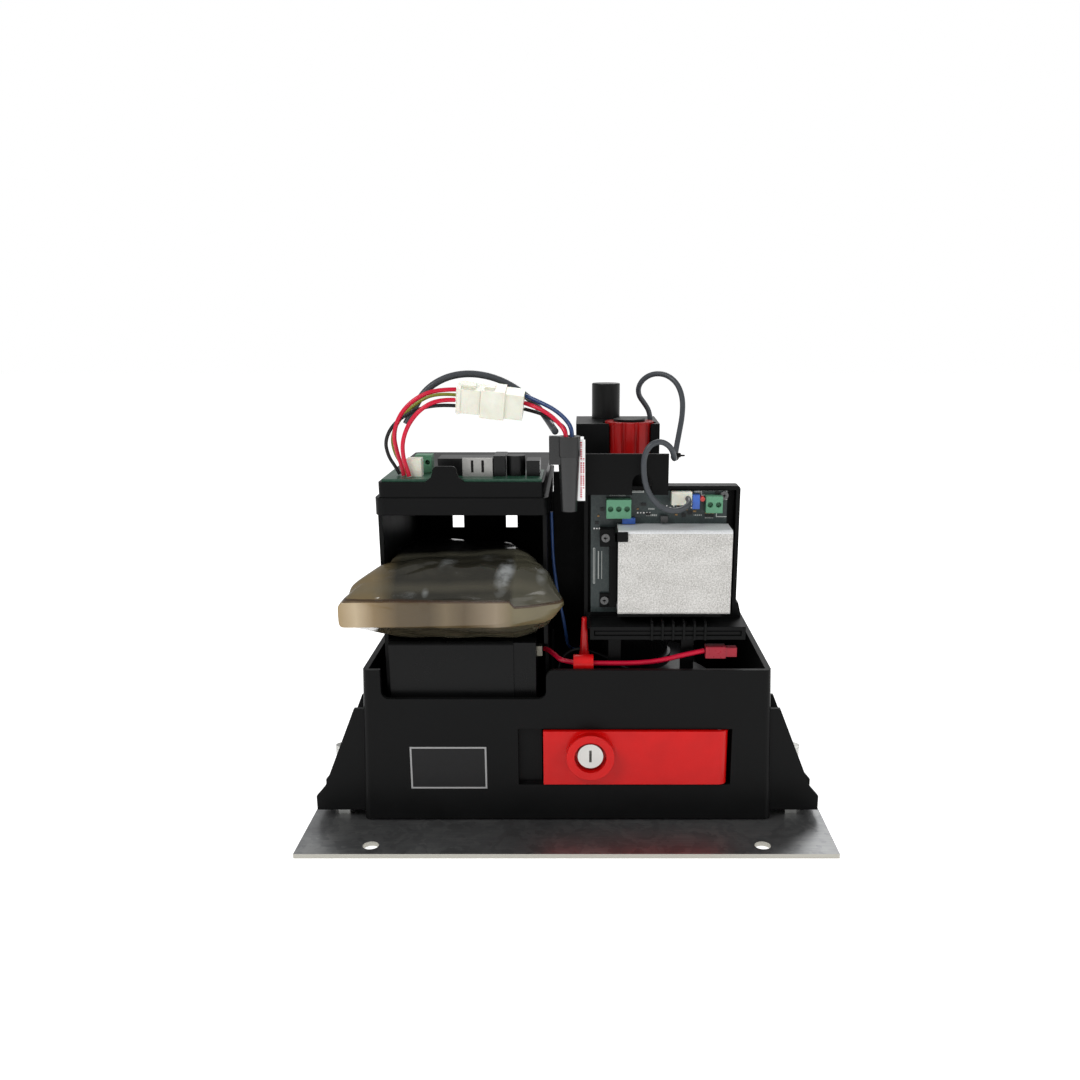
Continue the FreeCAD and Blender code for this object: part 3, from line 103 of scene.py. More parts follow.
class Finish:
    """A material built from nodes, with one Principled shader."""

    def __init__(self, name, **fixed):
        self.material = bpy.data.materials.new(name)
        self.material.use_nodes = True
        self.nodes = self.material.node_tree.nodes
        self.links = self.material.node_tree.links
        self.shader = self.nodes["Principled BSDF"]
        for word, value in fixed.items():
            self.shader.inputs[word.replace("_", " ")].default_value = value
        self.place = self.add("TexCoord", {}, {}, "Object")

    def add(self, kind, settings, inputs, out=0):
        """Any node: its settings first, then its inputs by order or name."""
        node = self.nodes.new("ShaderNode" + kind)
        for word, value in settings.items():
            setattr(node, word, value)
        pairs = inputs.items() if isinstance(inputs, dict) else enumerate(inputs)
        for key, value in pairs:
            if isinstance(value, Number):
                self.links.new(value.socket, node.inputs[key])
            elif value is not None:
                node.inputs[key].default_value = value
        return Number(self, node.outputs[out])

    def feed(self, word, value):
        self.links.new(value.socket, self.shader.inputs[word])

    def stretched(self, scale):
        """Object coordinates drawn out along an axis."""
        return self.add("Mapping", {}, {"Vector": self.place, "Scale": scale})

    def noise(self, scale, detail=4.0, rough=0.5, place=None, out=0):
        fields = {"Vector": place or self.place, "Scale": scale, "Detail": detail, "Roughness": rough}
        return self.add("TexNoise", {}, fields, out)

    def cells(self, scale, out="Color", feature="F1", place=None):
        fields = {"Vector": place or self.place, "Scale": scale}
        return self.add("TexVoronoi", {"feature": feature}, fields, out)

    def ramp(self, value, *stops):
        """A colour ramp from (position, colour) stops."""
        node = self.nodes.new("ShaderNodeValToRGB")
        elements = node.color_ramp.elements
        while len(elements) < len(stops):
            elements.new(0.5)
        for element, (position, colour) in zip(elements, stops):
            element.position = position
            element.color = (*colour, 1)
        self.links.new(value.socket, node.inputs[0])
        return Number(self, node.outputs[0])

    def shift(self, value, low, high):
        """A value from 0 to 1 moved to a range."""
        return value * (high - low) + low

    def blend(self, mask, under, over):
        """Two colours through a mask."""
        node = self.nodes.new("ShaderNodeMix")
        node.data_type = "RGBA"
        for key, value in ((0, mask), (6, under), (7, over)):
            if isinstance(value, Number):
                self.links.new(value.socket, node.inputs[key])
            else:
                if key and len(value) == 3:
                    value = (*value, 1)
                node.inputs[key].default_value = value
        return Number(self, node.outputs[2])

    def split(self, value=None):
        node = self.nodes.new("ShaderNodeSeparateXYZ")
        self.links.new((value or self.place).socket, node.inputs[0])
        return [Number(self, node.outputs[n]) for n in range(3)]

    def facing(self):
        """The surface's own direction: how far it looks along X, Y and Z."""
        return self.split(self.add("NewGeometry", {}, {}, "Normal"))

    def bump(self, height, strength=0.3, distance=0.0004, eased=0):
        fields = {"Strength": strength, "Distance": distance, "Height": height}
        if eased:
            fields["Normal"] = self.add("Bevel", {"samples": 4}, {"Radius": eased})
        self.feed("Normal", self.add("Bump", {}, fields))


# ---------------------------------------------------------------- finishes
def galvanised_sheet():
    """Hot-dip zinc: dull, with faint soft crystals and long rolling marks."""
    f = Finish("galvanised_sheet", Metallic=0.9)
    warp = f.blend(0.12, f.place, f.noise(30, out="Color"))
    crystals = f.split(f.cells(120, place=warp))[0]
    rolled = f.noise(300, 6, 0.6, place=f.stretched((0.12, 2.4, 1)))
    smear = f.noise(14, 4)
    shade = crystals * 0.16 + rolled * 0.34 + smear * 0.5
    stops = (0.25, (0.2, 0.2, 0.205)), (0.5, (0.31, 0.315, 0.32)), (0.8, (0.5, 0.5, 0.49))
    edge = f.facing()[2].sum("ABSOLUTE").below(0.5)
    f.feed("Base Color", f.blend(edge, f.ramp(shade, *stops), (0.4, 0.39, 0.35)))
    f.feed("Roughness", f.shift(shade, 0.24, 0.5))
    f.bump(rolled * 0.6 + crystals * 0.4, 0.06, 0.0002)
    return f


def satin_black(name="satin_black", grain=2600, shade=0.0022, rough=0.4, gleam=0.1, eased=0.0006):
    """Moulded black plastic with a fine spark-eroded grain and a little dust."""
    f = Finish(name, Specular_IOR_Level=gleam)
    grain_height = f.noise(grain, 2)
    cloud = f.noise(45, 4)
    up = f.facing()[2]
    dust = (up.above(0.6) * cloud * 0.03).clamp()
    bare = f.blend(cloud, (shade,) * 3, (shade * 1.9, shade * 2, shade * 2.1))
    f.feed("Base Color", f.blend(dust, bare, (0.2, 0.2, 0.2)))
    f.feed("Roughness", f.shift(cloud, rough - 0.1, rough + 0.08))
    f.bump(grain_height, 0.1, 0.00012, eased)
    return f


def gloss_plastic(name, colour, deep, rough=0.18, coat=0.5, gleam=0.3):
    """Glossy moulding with a faint ripple and slightly uneven colour."""
    f = Finish(name, Coat_Roughness=0.06, Specular_IOR_Level=gleam)
    cloud = f.noise(60, 3)
    scuff = f.noise(800, 6, 0.7, place=f.stretched((1, 0.3, 6)))
    f.feed("Base Color", f.blend(cloud, deep, colour))
    f.feed("Roughness", f.shift(scuff, rough - 0.05, rough + 0.12))
    f.shader.inputs["Coat Weight"].default_value = coat
    f.bump(f.noise(140, 2), 0.05, 0.0004, 0.0005)
    return f


def drawn_metal(name, light, dark, scale=(1, 1, 1), rough=0.28, lines=900, metal=1.0):
    """Metal with its working marks drawn out along an axis."""
    f = Finish(name)
    marks = f.noise(lines, 5, 0.6, place=f.stretched(scale))
    cloud = f.noise(70, 3)
    f.feed("Base Color", f.blend(marks * 0.6 + cloud * 0.4, dark, light))
    f.shader.inputs["Metallic"].default_value = metal
    f.feed("Roughness", f.shift(marks, rough - 0.08, rough + 0.14))
    f.bump(marks, 0.1, 0.00015)
    return f


def speckled_aluminium():
    """Raw sheet aluminium with a fine pale and dark sparkle, and painted light making its upward faces
    paler.
    """
    f = Finish("speckled_aluminium", Metallic=0.45, Specular_IOR_Level=0.3)
    speck = f.noise(1150, 3, 0.8)
    smear = f.noise(60, 4, place=f.stretched((1, 1, 2)))
    shade = speck * 0.86 + smear * 0.14
    stops = (0.36, (0.32, 0.31, 0.29)), (0.47, (0.47, 0.46, 0.44)), (0.6, (0.66, 0.65, 0.63))
    # Painted highlight: faces that look upwards made paler.
    painted_top_light = f.facing()[2].above(0.25)
    f.feed("Base Color", f.blend(painted_top_light * 0.6, f.ramp(shade, *stops), (0.86, 0.89, 0.92)))
    f.feed("Roughness", f.shift(speck, 0.42, 0.62))
    f.bump(speck, 0.22, 0.0002)
    return f


def cast_black():
    """Painted casting: a coarse skin under semi-gloss black."""
    f = Finish("cast_black", Specular_IOR_Level=0.3)
    skin = f.noise(700, 6, 0.65)
    cloud = f.noise(40, 3)
    f.feed("Base Color", f.blend(cloud, (0.006, 0.006, 0.0065), (0.013, 0.013, 0.014)))
    f.feed("Roughness", f.shift(skin, 0.34, 0.55))
    f.bump(skin, 0.35, 0.0004)
    return f


TICKS = 5200  # radians of ink and gap in each metre of a legend row


def circuit_board(name, face, track, legend=()):
    """Solder mask over tracks, with pale legend at (left, low, right, high, rim) in
    millimetres: a frame where it has a rim, or else a row of ticks."""
    f = Finish(name, Specular_IOR_Level=0.3)
    along, _, up = f.split()
    lines = f.cells(260, "Distance", "DISTANCE_TO_EDGE").below(0.05)
    pads = f.cells(190, "Distance").below(0.13)
    cloud = f.noise(60, 3)
    mask = (lines * 0.6 + pads * 0.5).clamp()
    colour = f.blend(mask, f.blend(cloud, face, [c * 1.7 for c in face]), track)
    for left, low, right, high, rim in legend:
        bar = along.between(left * MM, right * MM) * up.between(low * MM, high * MM)
        if rim:
            hole_x = along.between((left + rim) * MM, (right - rim) * MM)
            bar = bar * (1 - hole_x * up.between((low + rim) * MM, (high - rim) * MM))
        else:
            bar = bar * (along * TICKS).sum("SINE").above(-0.5) * 0.8
        colour = f.blend(bar, colour, (0.5, 0.52, 0.5))
    f.feed("Base Color", colour)
    f.feed("Roughness", f.shift(mask, 0.36, 0.28))
    f.shader.inputs["Coat Weight"].default_value = 0.15
    f.bump(mask, 0.2, 0.0001)
    return f


def lead_jacket(name, colour, rough=0.32):
    """Extruded PVC with a slight ripple along the lead."""
    f = Finish(name, Coat_Weight=0.1, Specular_IOR_Level=0.3)
    cloud = f.noise(120, 3)
    ripple = f.noise(500, 3)
    f.feed("Base Color", f.blend(cloud, [c * 0.7 for c in colour], colour))
    f.feed("Roughness", f.shift(ripple, rough - 0.08, rough + 0.12))
    f.bump(ripple, 0.08, 0.0002)
    return f


def natural_nylon():
    """Milky plug plastic, yellowed a little in soft random patches."""
    f = Finish("natural_nylon", Subsurface_Weight=0.25, Subsurface_Scale=0.002)
    cloud = f.noise(110, 4)
    f.feed("Base Color", f.blend(cloud, (0.62, 0.61, 0.5), (0.85, 0.85, 0.76)))
    f.feed("Roughness", f.shift(f.noise(900, 3), 0.3, 0.45))
    f.bump(f.noise(260, 3), 0.08, 0.0003)
    return f


LIQUID_TOP = 0.1548  # height of the oil's surface, in metres
RIGHT_FACET = -0.0335  # where the front band turns into the right-hand facet
BAND_REAR = -0.0745  # depth of the rear of the oil seen through the film
OIL_LIGHT_AND_SHADE = (  # the oil from the left end of the band to its right end, in painted light and shade: paler painted highlights and darker painted shade along it
    (0.0, (0.27, 0.19, 0.09)), (0.1, (0.42, 0.33, 0.21)), (0.2, (0.19, 0.13, 0.06)),
    (0.34, (0.075, 0.05, 0.02)), (0.52, (0.065, 0.044, 0.018)), (0.62, (0.13, 0.095, 0.05)),
    (0.72, (0.08, 0.054, 0.024)), (0.9, (0.22, 0.17, 0.11)), (1.0, (0.13, 0.1, 0.045)),
)
SMOKE = (0.3, (0.01, 0.0098, 0.0075)), (0.55, (0.024, 0.0225, 0.016)), (0.8, (0.06, 0.056, 0.04))
GLINTS = (  # painted highlights on the film: across, depth, half sizes, lean and strength
    (-0.0365, -0.088, 0.0065, 0.014, 0.003, 0.6), (-0.071, -0.079, 0.006, 0.008, 0.002, 0.22),
    (-0.093, -0.099, 0.006, 0.0022, 0, 0.2), (-0.083, -0.098, 0.0025, 0.003, 0, 0.3),
    (-0.047, -0.074, 0.006, 0.005, 0, 0.16), (-0.014, -0.085, 0.004, 0.008, 0.002, 0.3),
)


def pouch_film():
    """Clear film over amber oil: a liquid band in front and creased, smoky film above, both with painted
    light and shade.
    """
    f = Finish(
        "pouch_film", IOR=1.45, Coat_Weight=0.35, Coat_Roughness=0.05, Specular_IOR_Level=0.35
    )
    along, depth, height = f.split()
    waver, cloud = f.noise(34, 3), f.noise(22, 4, 0.55, place=f.stretched((1, 1.5, 1.5)))
    crease = f.noise(60, 6, 0.6, place=f.stretched((1, 1.6, 1)))

    def patch(x, y, wide, deep, lean):
        """A soft spot on the film, leaning along the depth."""
        off_y = (depth - y) / deep
        off_x = (along - x - off_y * lean) / wide
        return (1 - (off_x * off_x + off_y * off_y).sum("SQRT")).clamp()

    # Where the oil, its surface line and the right-hand facet are.
    level = height + (waver - 0.5) * 0.0026
    right = ((along - RIGHT_FACET) / 0.003).clamp()
    top_line = right * -0.0035 + LIQUID_TOP
    liquid = depth.below(BAND_REAR) * (top_line - level).above(0)
    meniscus = depth.below(BAND_REAR - 0.001) * (top_line - level + 0.0009).between(0, 0.0017)

    # Oil behind the film: painted light and shade in bands along it, and painted shade on the right-hand
    # facet.
    span = (along + 0.135 + (waver - 0.5) * 0.008) / 0.105
    amber = f.ramp(span, *OIL_LIGHT_AND_SHADE)
    amber = f.blend(right * 0.9, amber, f.blend(cloud, (0.05, 0.042, 0.02), (0.19, 0.16, 0.085)))

    # Film over air: amber at the left, painted light in olive on the right-hand facet, and painted
    # highlights on its slope and ridges.
    smoke = f.ramp(cloud, *SMOKE)
    film = f.blend(((-0.101 - along) / 0.014).clamp() * 0.9, smoke, (0.17, 0.125, 0.06))
    # Painted light: the right-hand facet made a paler olive.
    olive = f.blend(cloud, (0.03, 0.028, 0.019), (0.1, 0.095, 0.066))
    film = f.blend(right * 0.85, film, olive)
    # Painted highlight: the slope behind the front band made paler.
    shelf = ((depth + 0.099) / 0.004).clamp() * ((-0.091 - depth) / 0.006).clamp()
    film = f.blend(shelf * 0.55, film, (0.11, 0.1, 0.07))
    # Painted highlight: a paler band along the ridge.
    ridge = ((depth + 0.076 + along * 0.05) / 0.01).clamp() * 0.6
    film = f.blend(ridge, film, (0.075, 0.072, 0.052))
    # Painted highlights, shown where the film's creases rise.
    for *place, strength in GLINTS:
        glow = patch(*place) * ((crease - 0.4) * 5).clamp()
        film = f.blend((glow * 1.6).clamp() * strength, film, (0.42, 0.44, 0.44))
    # Painted shade: the film at the rear, inside the frame, made near black.
    film = f.blend(((depth + 0.062) / 0.008).clamp(), film, (0.003, 0.003, 0.0028))

    colour = f.blend(liquid, film, amber)
    # Painted shade: the pouch's underside made darker.
    under = (0.139 - level).above(0) * depth.above(-0.1005)
    belly_shade = f.blend(cloud, (0.012, 0.011, 0.008), (0.07, 0.062, 0.04))
    colour = f.blend(under * 0.85, colour, belly_shade)
    f.feed("Base Color", f.blend(meniscus * 0.8, colour, (0.035, 0.014, 0.004)))
    fine = f.noise(210, 3)
    f.feed("Alpha", (liquid * 0.07 + crease * 0.04 + 0.91).clamp())
    f.feed("Roughness", f.shift(crease, 0.08, 0.24))
    f.bump(crease * 0.8 + fine * 0.2, 0.6, 0.0014)
    return f


def name_plate(line=0.0011):
    """A bare dark plate with a thin pale frame line round its edge."""
    f = Finish("name_plate", Specular_IOR_Level=0.2)
    low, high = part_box("rating_plate")
    along, _, up = f.split()
    inside_x = along.between(low[0] + line, high[0] - line)
    inside_z = up.between(low[2] + line, high[2] - line)
    frame_line = 1 - inside_x * inside_z
    cloud = f.noise(200, 4)
    face = f.blend(cloud, (0.004, 0.004, 0.004), (0.008, 0.008, 0.009))
    f.feed("Base Color", f.blend(frame_line, face, (0.3, 0.3, 0.3)))
    f.feed("Roughness", f.shift(cloud, 0.3, 0.42))
    return f


def charger_mix():
    """Blue trimmer and capacitor, a red lamp and a black regulator, by place."""
    f = Finish("charger_mix", Coat_Weight=0.3)
    along = f.split()[0]
    cloud = f.noise(300, 3)
    blue = f.blend(cloud, (0.01, 0.06, 0.35), (0.02, 0.13, 0.55))
    black = f.blend(cloud, (0.012, 0.012, 0.012), (0.03, 0.03, 0.03))
    colour = f.blend(along.between(0.05, 0.07), blue, black)
    f.feed("Base Color", f.blend(along.above(0.0819), colour, (0.6, 0.03, 0.02)))
    f.feed("Roughness", f.shift(cloud, 0.25, 0.4))
    return f


def steel_stack():
    """Armature laminations: thin dark lines round the core, copper above."""
    f = Finish("steel_stack", Metallic=0.9)
    up = f.split()[2]
    rows = (up * 9000).sum("SINE").above(0.2)
    core = f.blend(rows, (0.2, 0.19, 0.18), (0.36, 0.35, 0.33))
    f.feed("Base Color", f.blend(up.above(0.1795), core, (0.7, 0.34, 0.17)))
    f.feed("Roughness", f.shift(rows, 0.3, 0.5))
    f.bump(rows, 0.3, 0.0002)
    return f


BLACK = satin_black()
CHARGER_LEGEND = [
    (92.8, 195.6, 100.2, 206.9, 0.5), (35.9, 210.9, 47.8, 212.2, 0.5),
    (83.2, 209.2, 99.2, 212.3, 0.3),
    (26.4, 208.7, 36.4, 209.7, 0), (49, 196.2, 56, 197.3, 0), (79, 210.9, 82.6, 212.1, 0),
    (16.4, 153, 17.6, 176, 0.3), (19.4, 156, 20.2, 174, 0), (21.4, 156, 22.0, 174, 0),
    (50.5, 200.3, 54.5, 201.2, 0), (86, 194.8, 91, 195.6, 0), (79, 196.4, 84, 197.3, 0),
]
FINISHES = {
    "galvanised_plate": galvanised_sheet(),
    "zinc_fastener": drawn_metal("bright_zinc", (0.72, 0.72, 0.68), (0.42, 0.42, 0.41), (1, 1, 8)),
    "black_moulding": BLACK,
    "grey_label": name_plate(),
    "red_gloss": gloss_plastic(
        "lever_red", (0.62, 0.0015, 0.0015), (0.45, 0.001, 0.001), 0.26, 0.12, 0.18
    ),
    "nickel": drawn_metal("nickel_plate", (0.7, 0.69, 0.66), (0.3, 0.29, 0.28), (3, 1, 3), 0.22, 1500),
    "battery_case": satin_black("battery_black", 1200, 0.0025, 0.3, 0.14),
    "tinned_brass": drawn_metal("tinned_brass", (0.4, 0.38, 0.32), (0.2, 0.19, 0.15), rough=0.4),
    "circuit_board": circuit_board(
        "charger_mask", (0.017, 0.026, 0.026), (0.035, 0.05, 0.048), CHARGER_LEGEND
    ),
    "raw_aluminium": speckled_aluminium(),
    "black_casting": cast_black(),
    "green_terminal": gloss_plastic(
        "terminal_green", (0.12, 0.32, 0.19), (0.08, 0.22, 0.13), 0.38, 0.05
    ),
    "natural_plastic": natural_nylon(),
    "board_parts": satin_black("epoxy_black", 1800, 0.004, 0.3, 0.25),
    "charger_parts": charger_mix(),
    "bearing_steel": drawn_metal(
        "bearing_steel", (0.75, 0.75, 0.76), (0.5, 0.5, 0.52), (1, 12, 1), 0.2
    ),
    "seal_rubber": satin_black("seal_rubber", 900, 0.008, 0.65),
    "bronze": drawn_metal("hobbed_bronze", (0.72, 0.5, 0.24), (0.46, 0.28, 0.11), (1, 1, 1), 0.3),
    "hard_steel": drawn_metal("hard_steel", (0.6, 0.6, 0.62), (0.34, 0.34, 0.36), (1, 6, 1), 0.26),
    "black_can": satin_black("can_paint", 700, 0.004, 0.3, 0.25),
    "laminations": steel_stack(),
    "clear_pouch": pouch_film(),
    "red_boot": lead_jacket("boot_red", (0.75, 0.006, 0.008), 0.28),
    "lead_red": lead_jacket("lead_red", (0.62, 0.003, 0.035)),
    "lead_black": lead_jacket("lead_black", (0.008, 0.008, 0.009)),
    "lead_blue": lead_jacket("lead_blue", (0.02, 0.055, 0.17)),
    "lead_green": lead_jacket("lead_green", (0.25, 0.27, 0.02)),
    "grey_sheath": lead_jacket("grey_sheath", (0.05, 0.056, 0.064), 0.45),
}
GLOSS_BLACK = satin_black("gloss_black", 900, 0.008, 0.26, 0.5)
SLOT_OF = {row["node"]: row["material_slot"] for row in frame["record"]["subparts"]}


def dress(obj, finish):
    obj.data.materials.clear()
    obj.data.materials.append(finish.material)


for node, obj in NODES.items():
    dress(obj, FINISHES[SLOT_OF[node]])
CONTROL_GREEN = circuit_board("control_mask", (0.012, 0.05, 0.03), (0.03, 0.1, 0.06))
dress(NODES["control_board"], CONTROL_GREEN)
RED_KNOB = gloss_plastic("knob_red", (0.42, 0.001, 0.001), (0.24, 0.001, 0.001), 0.34, 0.1, 0.25)
dress(NODES["hand_wheel"], RED_KNOB)
dress(NODES["spade_connector"], lead_jacket("spade_crimson", (0.35, 0.003, 0.02), 0.28))
BRUSHED_BAR = drawn_metal(
    "brushed_bar", (0.5, 0.49, 0.47), (0.24, 0.24, 0.23), (6, 1, 0.6), 0.4, 700, 0.7
)
dress(NODES["board_heat_sink"], BRUSHED_BAR)
dress(NODES["fuse_sleeve"], GLOSS_BLACK)
dress(NODES["cover_post"], satin_black("post_black", 900, 0.003, 0.34, 0.22))


# ---------------------------------------------------------------- mesh kit
def piece(name, mesh_data, finish, body=ROOT):
    """A finished piece at the origin, riding on a body."""
    if isinstance(mesh_data, bmesh.types.BMesh):
        data = bpy.data.meshes.new(name)
        bmesh.ops.recalc_face_normals(mesh_data, faces=mesh_data.faces)
        mesh_data.to_mesh(data)
        mesh_data.free()
        mesh_data = data
    obj = bpy.data.objects.new(name, mesh_data)
    bpy.context.scene.collection.objects.link(obj)
    dress(obj, finish)
    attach(obj, body)
    return obj


def smooth(obj, angle=35):
    """Rounded shading, kept crisp at edges sharper than the angle in degrees."""
    for face in obj.data.polygons:
        face.use_smooth = True
    obj.data.set_sharp_from_angle(angle=math.radians(angle))
    return obj


def block(low, high, bevel=0.3, into=None):
    """A block between two corners in millimetres, its edges eased."""
    bm = into or bmesh.new()
    made = bmesh.ops.create_cube(bm, size=1)["verts"]
    low, high = mm(*low), mm(*high)
    bmesh.ops.scale(bm, verts=made, vec=high - low)
    bmesh.ops.translate(bm, verts=made, vec=(low + high) / 2)
    edges = list({edge for vert in made for edge in vert.link_edges})
    bmesh.ops.bevel(bm, geom=edges, offset=bevel * MM, segments=2, affect="EDGES")
    return bm


def turned(profile, centre, sides):
    """A form turned about an axis along Y, from (radius, place on the axis) pairs."""
    bm = bmesh.new()
    rings = []
    for radius, place in profile:
        ring = []
        for n in range(sides):
            angle = 2 * math.pi * n / sides
            spot = Vector((radius * math.cos(angle), -place, radius * math.sin(angle)))
            ring.append(bm.verts.new(mm(*(spot + Vector(centre)))))
        rings.append(ring)
    for under, over in zip(rings, rings[1:]):
        for n in range(sides):
            m = (n + 1) % sides
            bm.faces.new((under[n], under[m], over[m], over[n]))
    bm.faces.new(rings[0])
    bm.faces.new(rings[-1])
    return bm


# ---------------------------------------------------------------- leads
def lead(name, node, dia, points, finish, body=ROOT):
    """A round lead as a smooth curve along its route's points."""
    curve = bpy.data.curves.new(name, "CURVE")
    curve.dimensions = "3D"
    curve.bevel_depth = dia / 2 * MM
    curve.bevel_resolution = 5
    curve.resolution_u = 10
    curve.use_fill_caps = True
    spline = curve.splines.new("NURBS")
    spline.points.add(len(points) - 1)
    for spot, point in zip(spline.points, points):
        spot.co = (*mm(*point), 1)
    spline.order_u = 3
    spline.use_endpoint_u = True
    obj = bpy.data.objects.new(name, curve)
    bpy.context.scene.collection.objects.link(obj)
    obj.data.materials.append(finish.material)
    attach(obj, body)
    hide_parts(node)
    return obj


def run_length(obj):
    """The length of a lead's own line."""
    bare = obj.data.copy()
    bare.bevel_depth = 0
    probe = bpy.data.objects.new("probe", bare)
    bpy.context.scene.collection.objects.link(probe)
    graph = bpy.context.evaluated_depsgraph_get()
    line = bpy.data.meshes.new_from_object(probe.evaluated_get(graph))
    spots = [vert.co for vert in line.vertices]
    total = sum((spots[a] - spots[b]).length for a, b in (edge.vertices for edge in line.edges))
    bpy.data.objects.remove(probe)
    bpy.data.meshes.remove(line)
    return total


# Each lead's diameter, finish, far end and route from its plug or terminal onwards.
ROUTES = {
    "wire_black": (2.2, "lead_black", "object", [
        (-67.1, -49, 263.6), (-78.3, -51, 264.5), (-92.6, -52, 261), (-104.8, -51, 253.5),
        (-111, -50, 243), (-109.5, -50, 233.5), (-105, -50, 226.5), (-102.8, -50, 222.3),
    ]),
    "wire_red_upper": (2.6, "lead_red", "connector", [
        (-66, -53, 273.5), (-78, -54.5, 273.6), (-90.5, -56, 268.6), (-100, -56.5, 259.4),
        (-104.6, -56, 247.5), (-103, -55, 236), (-100.6, -54.5, 228), (-99.6, -54.5, 222.1),
    ]),
    "wire_green": (2.0, "lead_green", "object", [
        (-66.4, -46.5, 269.8), (-78.6, -46, 271), (-90.6, -46, 265.8), (-101.6, -46, 256.2),
        (-107.6, -46, 245.2), (-106.2, -46, 234.6), (-101.6, -46, 227), (-99.5, -45.8, 222.2),
    ]),
    "wire_red_lower": (2.6, "lead_red", "object", [
        (-66.7, -55, 267.5), (-76, -58.5, 268), (-86.5, -60, 263), (-94.6, -60, 253.8),
        (-98.8, -60, 243), (-98.6, -59.5, 233), (-96.6, -59, 226.5), (-95.6, -59, 222.2),
    ]),
    "cable_sheath": (4.2, "grey_sheath", "object", [
        (-98.6, -44, 252.2), (-94.2, -42, 260.5), (-87, -38, 272.2), (-75.3, -36, 279.6),
        (-61.9, -34, 282.2), (-48.4, -34, 280.7), (-36.1, -36, 276.3), (-24.3, -38, 268.5),
        (-15.5, -43, 260), (-10.5, -51, 254), (-8, -60, 251.2), (-6.5, -67.5, 250.1),
    ]),
    "wire_blue": (2.6, "lead_blue", "object", [
        (-24.7, -47.5, 269.3), (-17.2, -51, 266.5), (-7.5, -57, 262.3), (-1, -62, 257.5),
        (3, -66.6, 252.5), (3.6, -68.1, 246), (3.6, -68.2, 240),
    ]),
    "wire_red_right": (2.6, "lead_red", "fitting", [
        (-25.3, -50, 265.3), (-17.1, -54, 262.9), (-9.2, -60, 258.7), (-4.6, -66, 255),
        (-0.8, -69.8, 251), (0.4, -71.4, 245.5), (0.4, -71.5, 240),
    ]),
    "wire_black_right": (2.2, "lead_black", "object", [
        (-25.7, -46, 261.4), (-17.9, -49, 259.8), (-11, -54.5, 257.5), (-5.5, -60, 255),
        (-0.6, -66, 252), (0.2, -67.4, 246), (0.2, -67.5, 240),
    ]),
    "sensor_cable": (3.4, "grey_sheath", "object", [
        (54.6, 9.5, 250.2), (54, 9.2, 255.5), (50.4, 6, 261), (46.2, 2, 266.4),
        (45.8, -2, 272.5), (49.5, -5.5, 278), (56, -9, 281), (63.5, -13, 280.2),
        (69.8, -18, 275), (72.6, -25, 266.5), (72, -32, 256.5), (69.6, -40, 247),
        (67.2, -49, 238.5), (65.4, -58, 232), (64.6, -66, 235.2), (61.8, -71, 241.6),
        (55.6, -73.4, 245.2), (49.2, -74.2, 242.8), (46, -74.5, 236.2),
        (45.8, -74.5, 228.6), (46.8, -74.4, 220.4), (49.8, -74, 213), (54.8, -73, 207),
        (61.2, -71.6, 203.4), (68, -69.4, 203), (73.6, -65.8, 205.2),
        (75, -61, 207.4), (74.4, -56.5, 208.2),
    ]),
    "battery_lead_red": (3.2, "lead_red", "connector", [
        (-14.4, -49.6, 109.6), (-9.6, -58, 110.2), (-3, -68, 106.2), (26, -68.6, 105.8),
        (46, -69.2, 106.2), (60.3, -69.3, 108.2), (74, -69, 111.8), (86.1, -69, 114.4),
    ]),
    "battery_lead_black": (2.4, "lead_black", "object", [
        (-15.2, -49.8, 68.4), (-9.6, -50.5, 73), (-6.6, -50, 82), (-6.2, -48.5, 93),
        (-4, -46.5, 102.5), (3, -45, 107.5), (12.5, -44.6, 107.4), (23, -45.4, 103.6),
        (32, -46, 98), (38, -44.4, 94), (39.6, -38.7, 93),
    ]),
    "drop_wire_blue": (2.0, "lead_blue", "object", [
        (-9.8, -45, 198), (-9.6, -45, 186), (-9, -45, 167), (-6.6, -45, 147.4),
        (-3.5, -44.4, 133), (-1.4, -42, 120), (-0.4, -37.5, 109.5), (2.4, -30, 103),
        (7, -22, 100.6), (12, -16, 100),
    ]),
}
# Each route drawn as a smooth lead; its end point and run length are worked out but not used.
for route, (dia, slot, end, points) in ROUTES.items():
    smooth_lead = lead(f"{route}_lead", route, dia, points, FINISHES[slot])
    leaves = points[-1] if route == "wire_red_upper" else points[0]
    mm(*leaves)
    run_length(smooth_lead)
    dia * MM

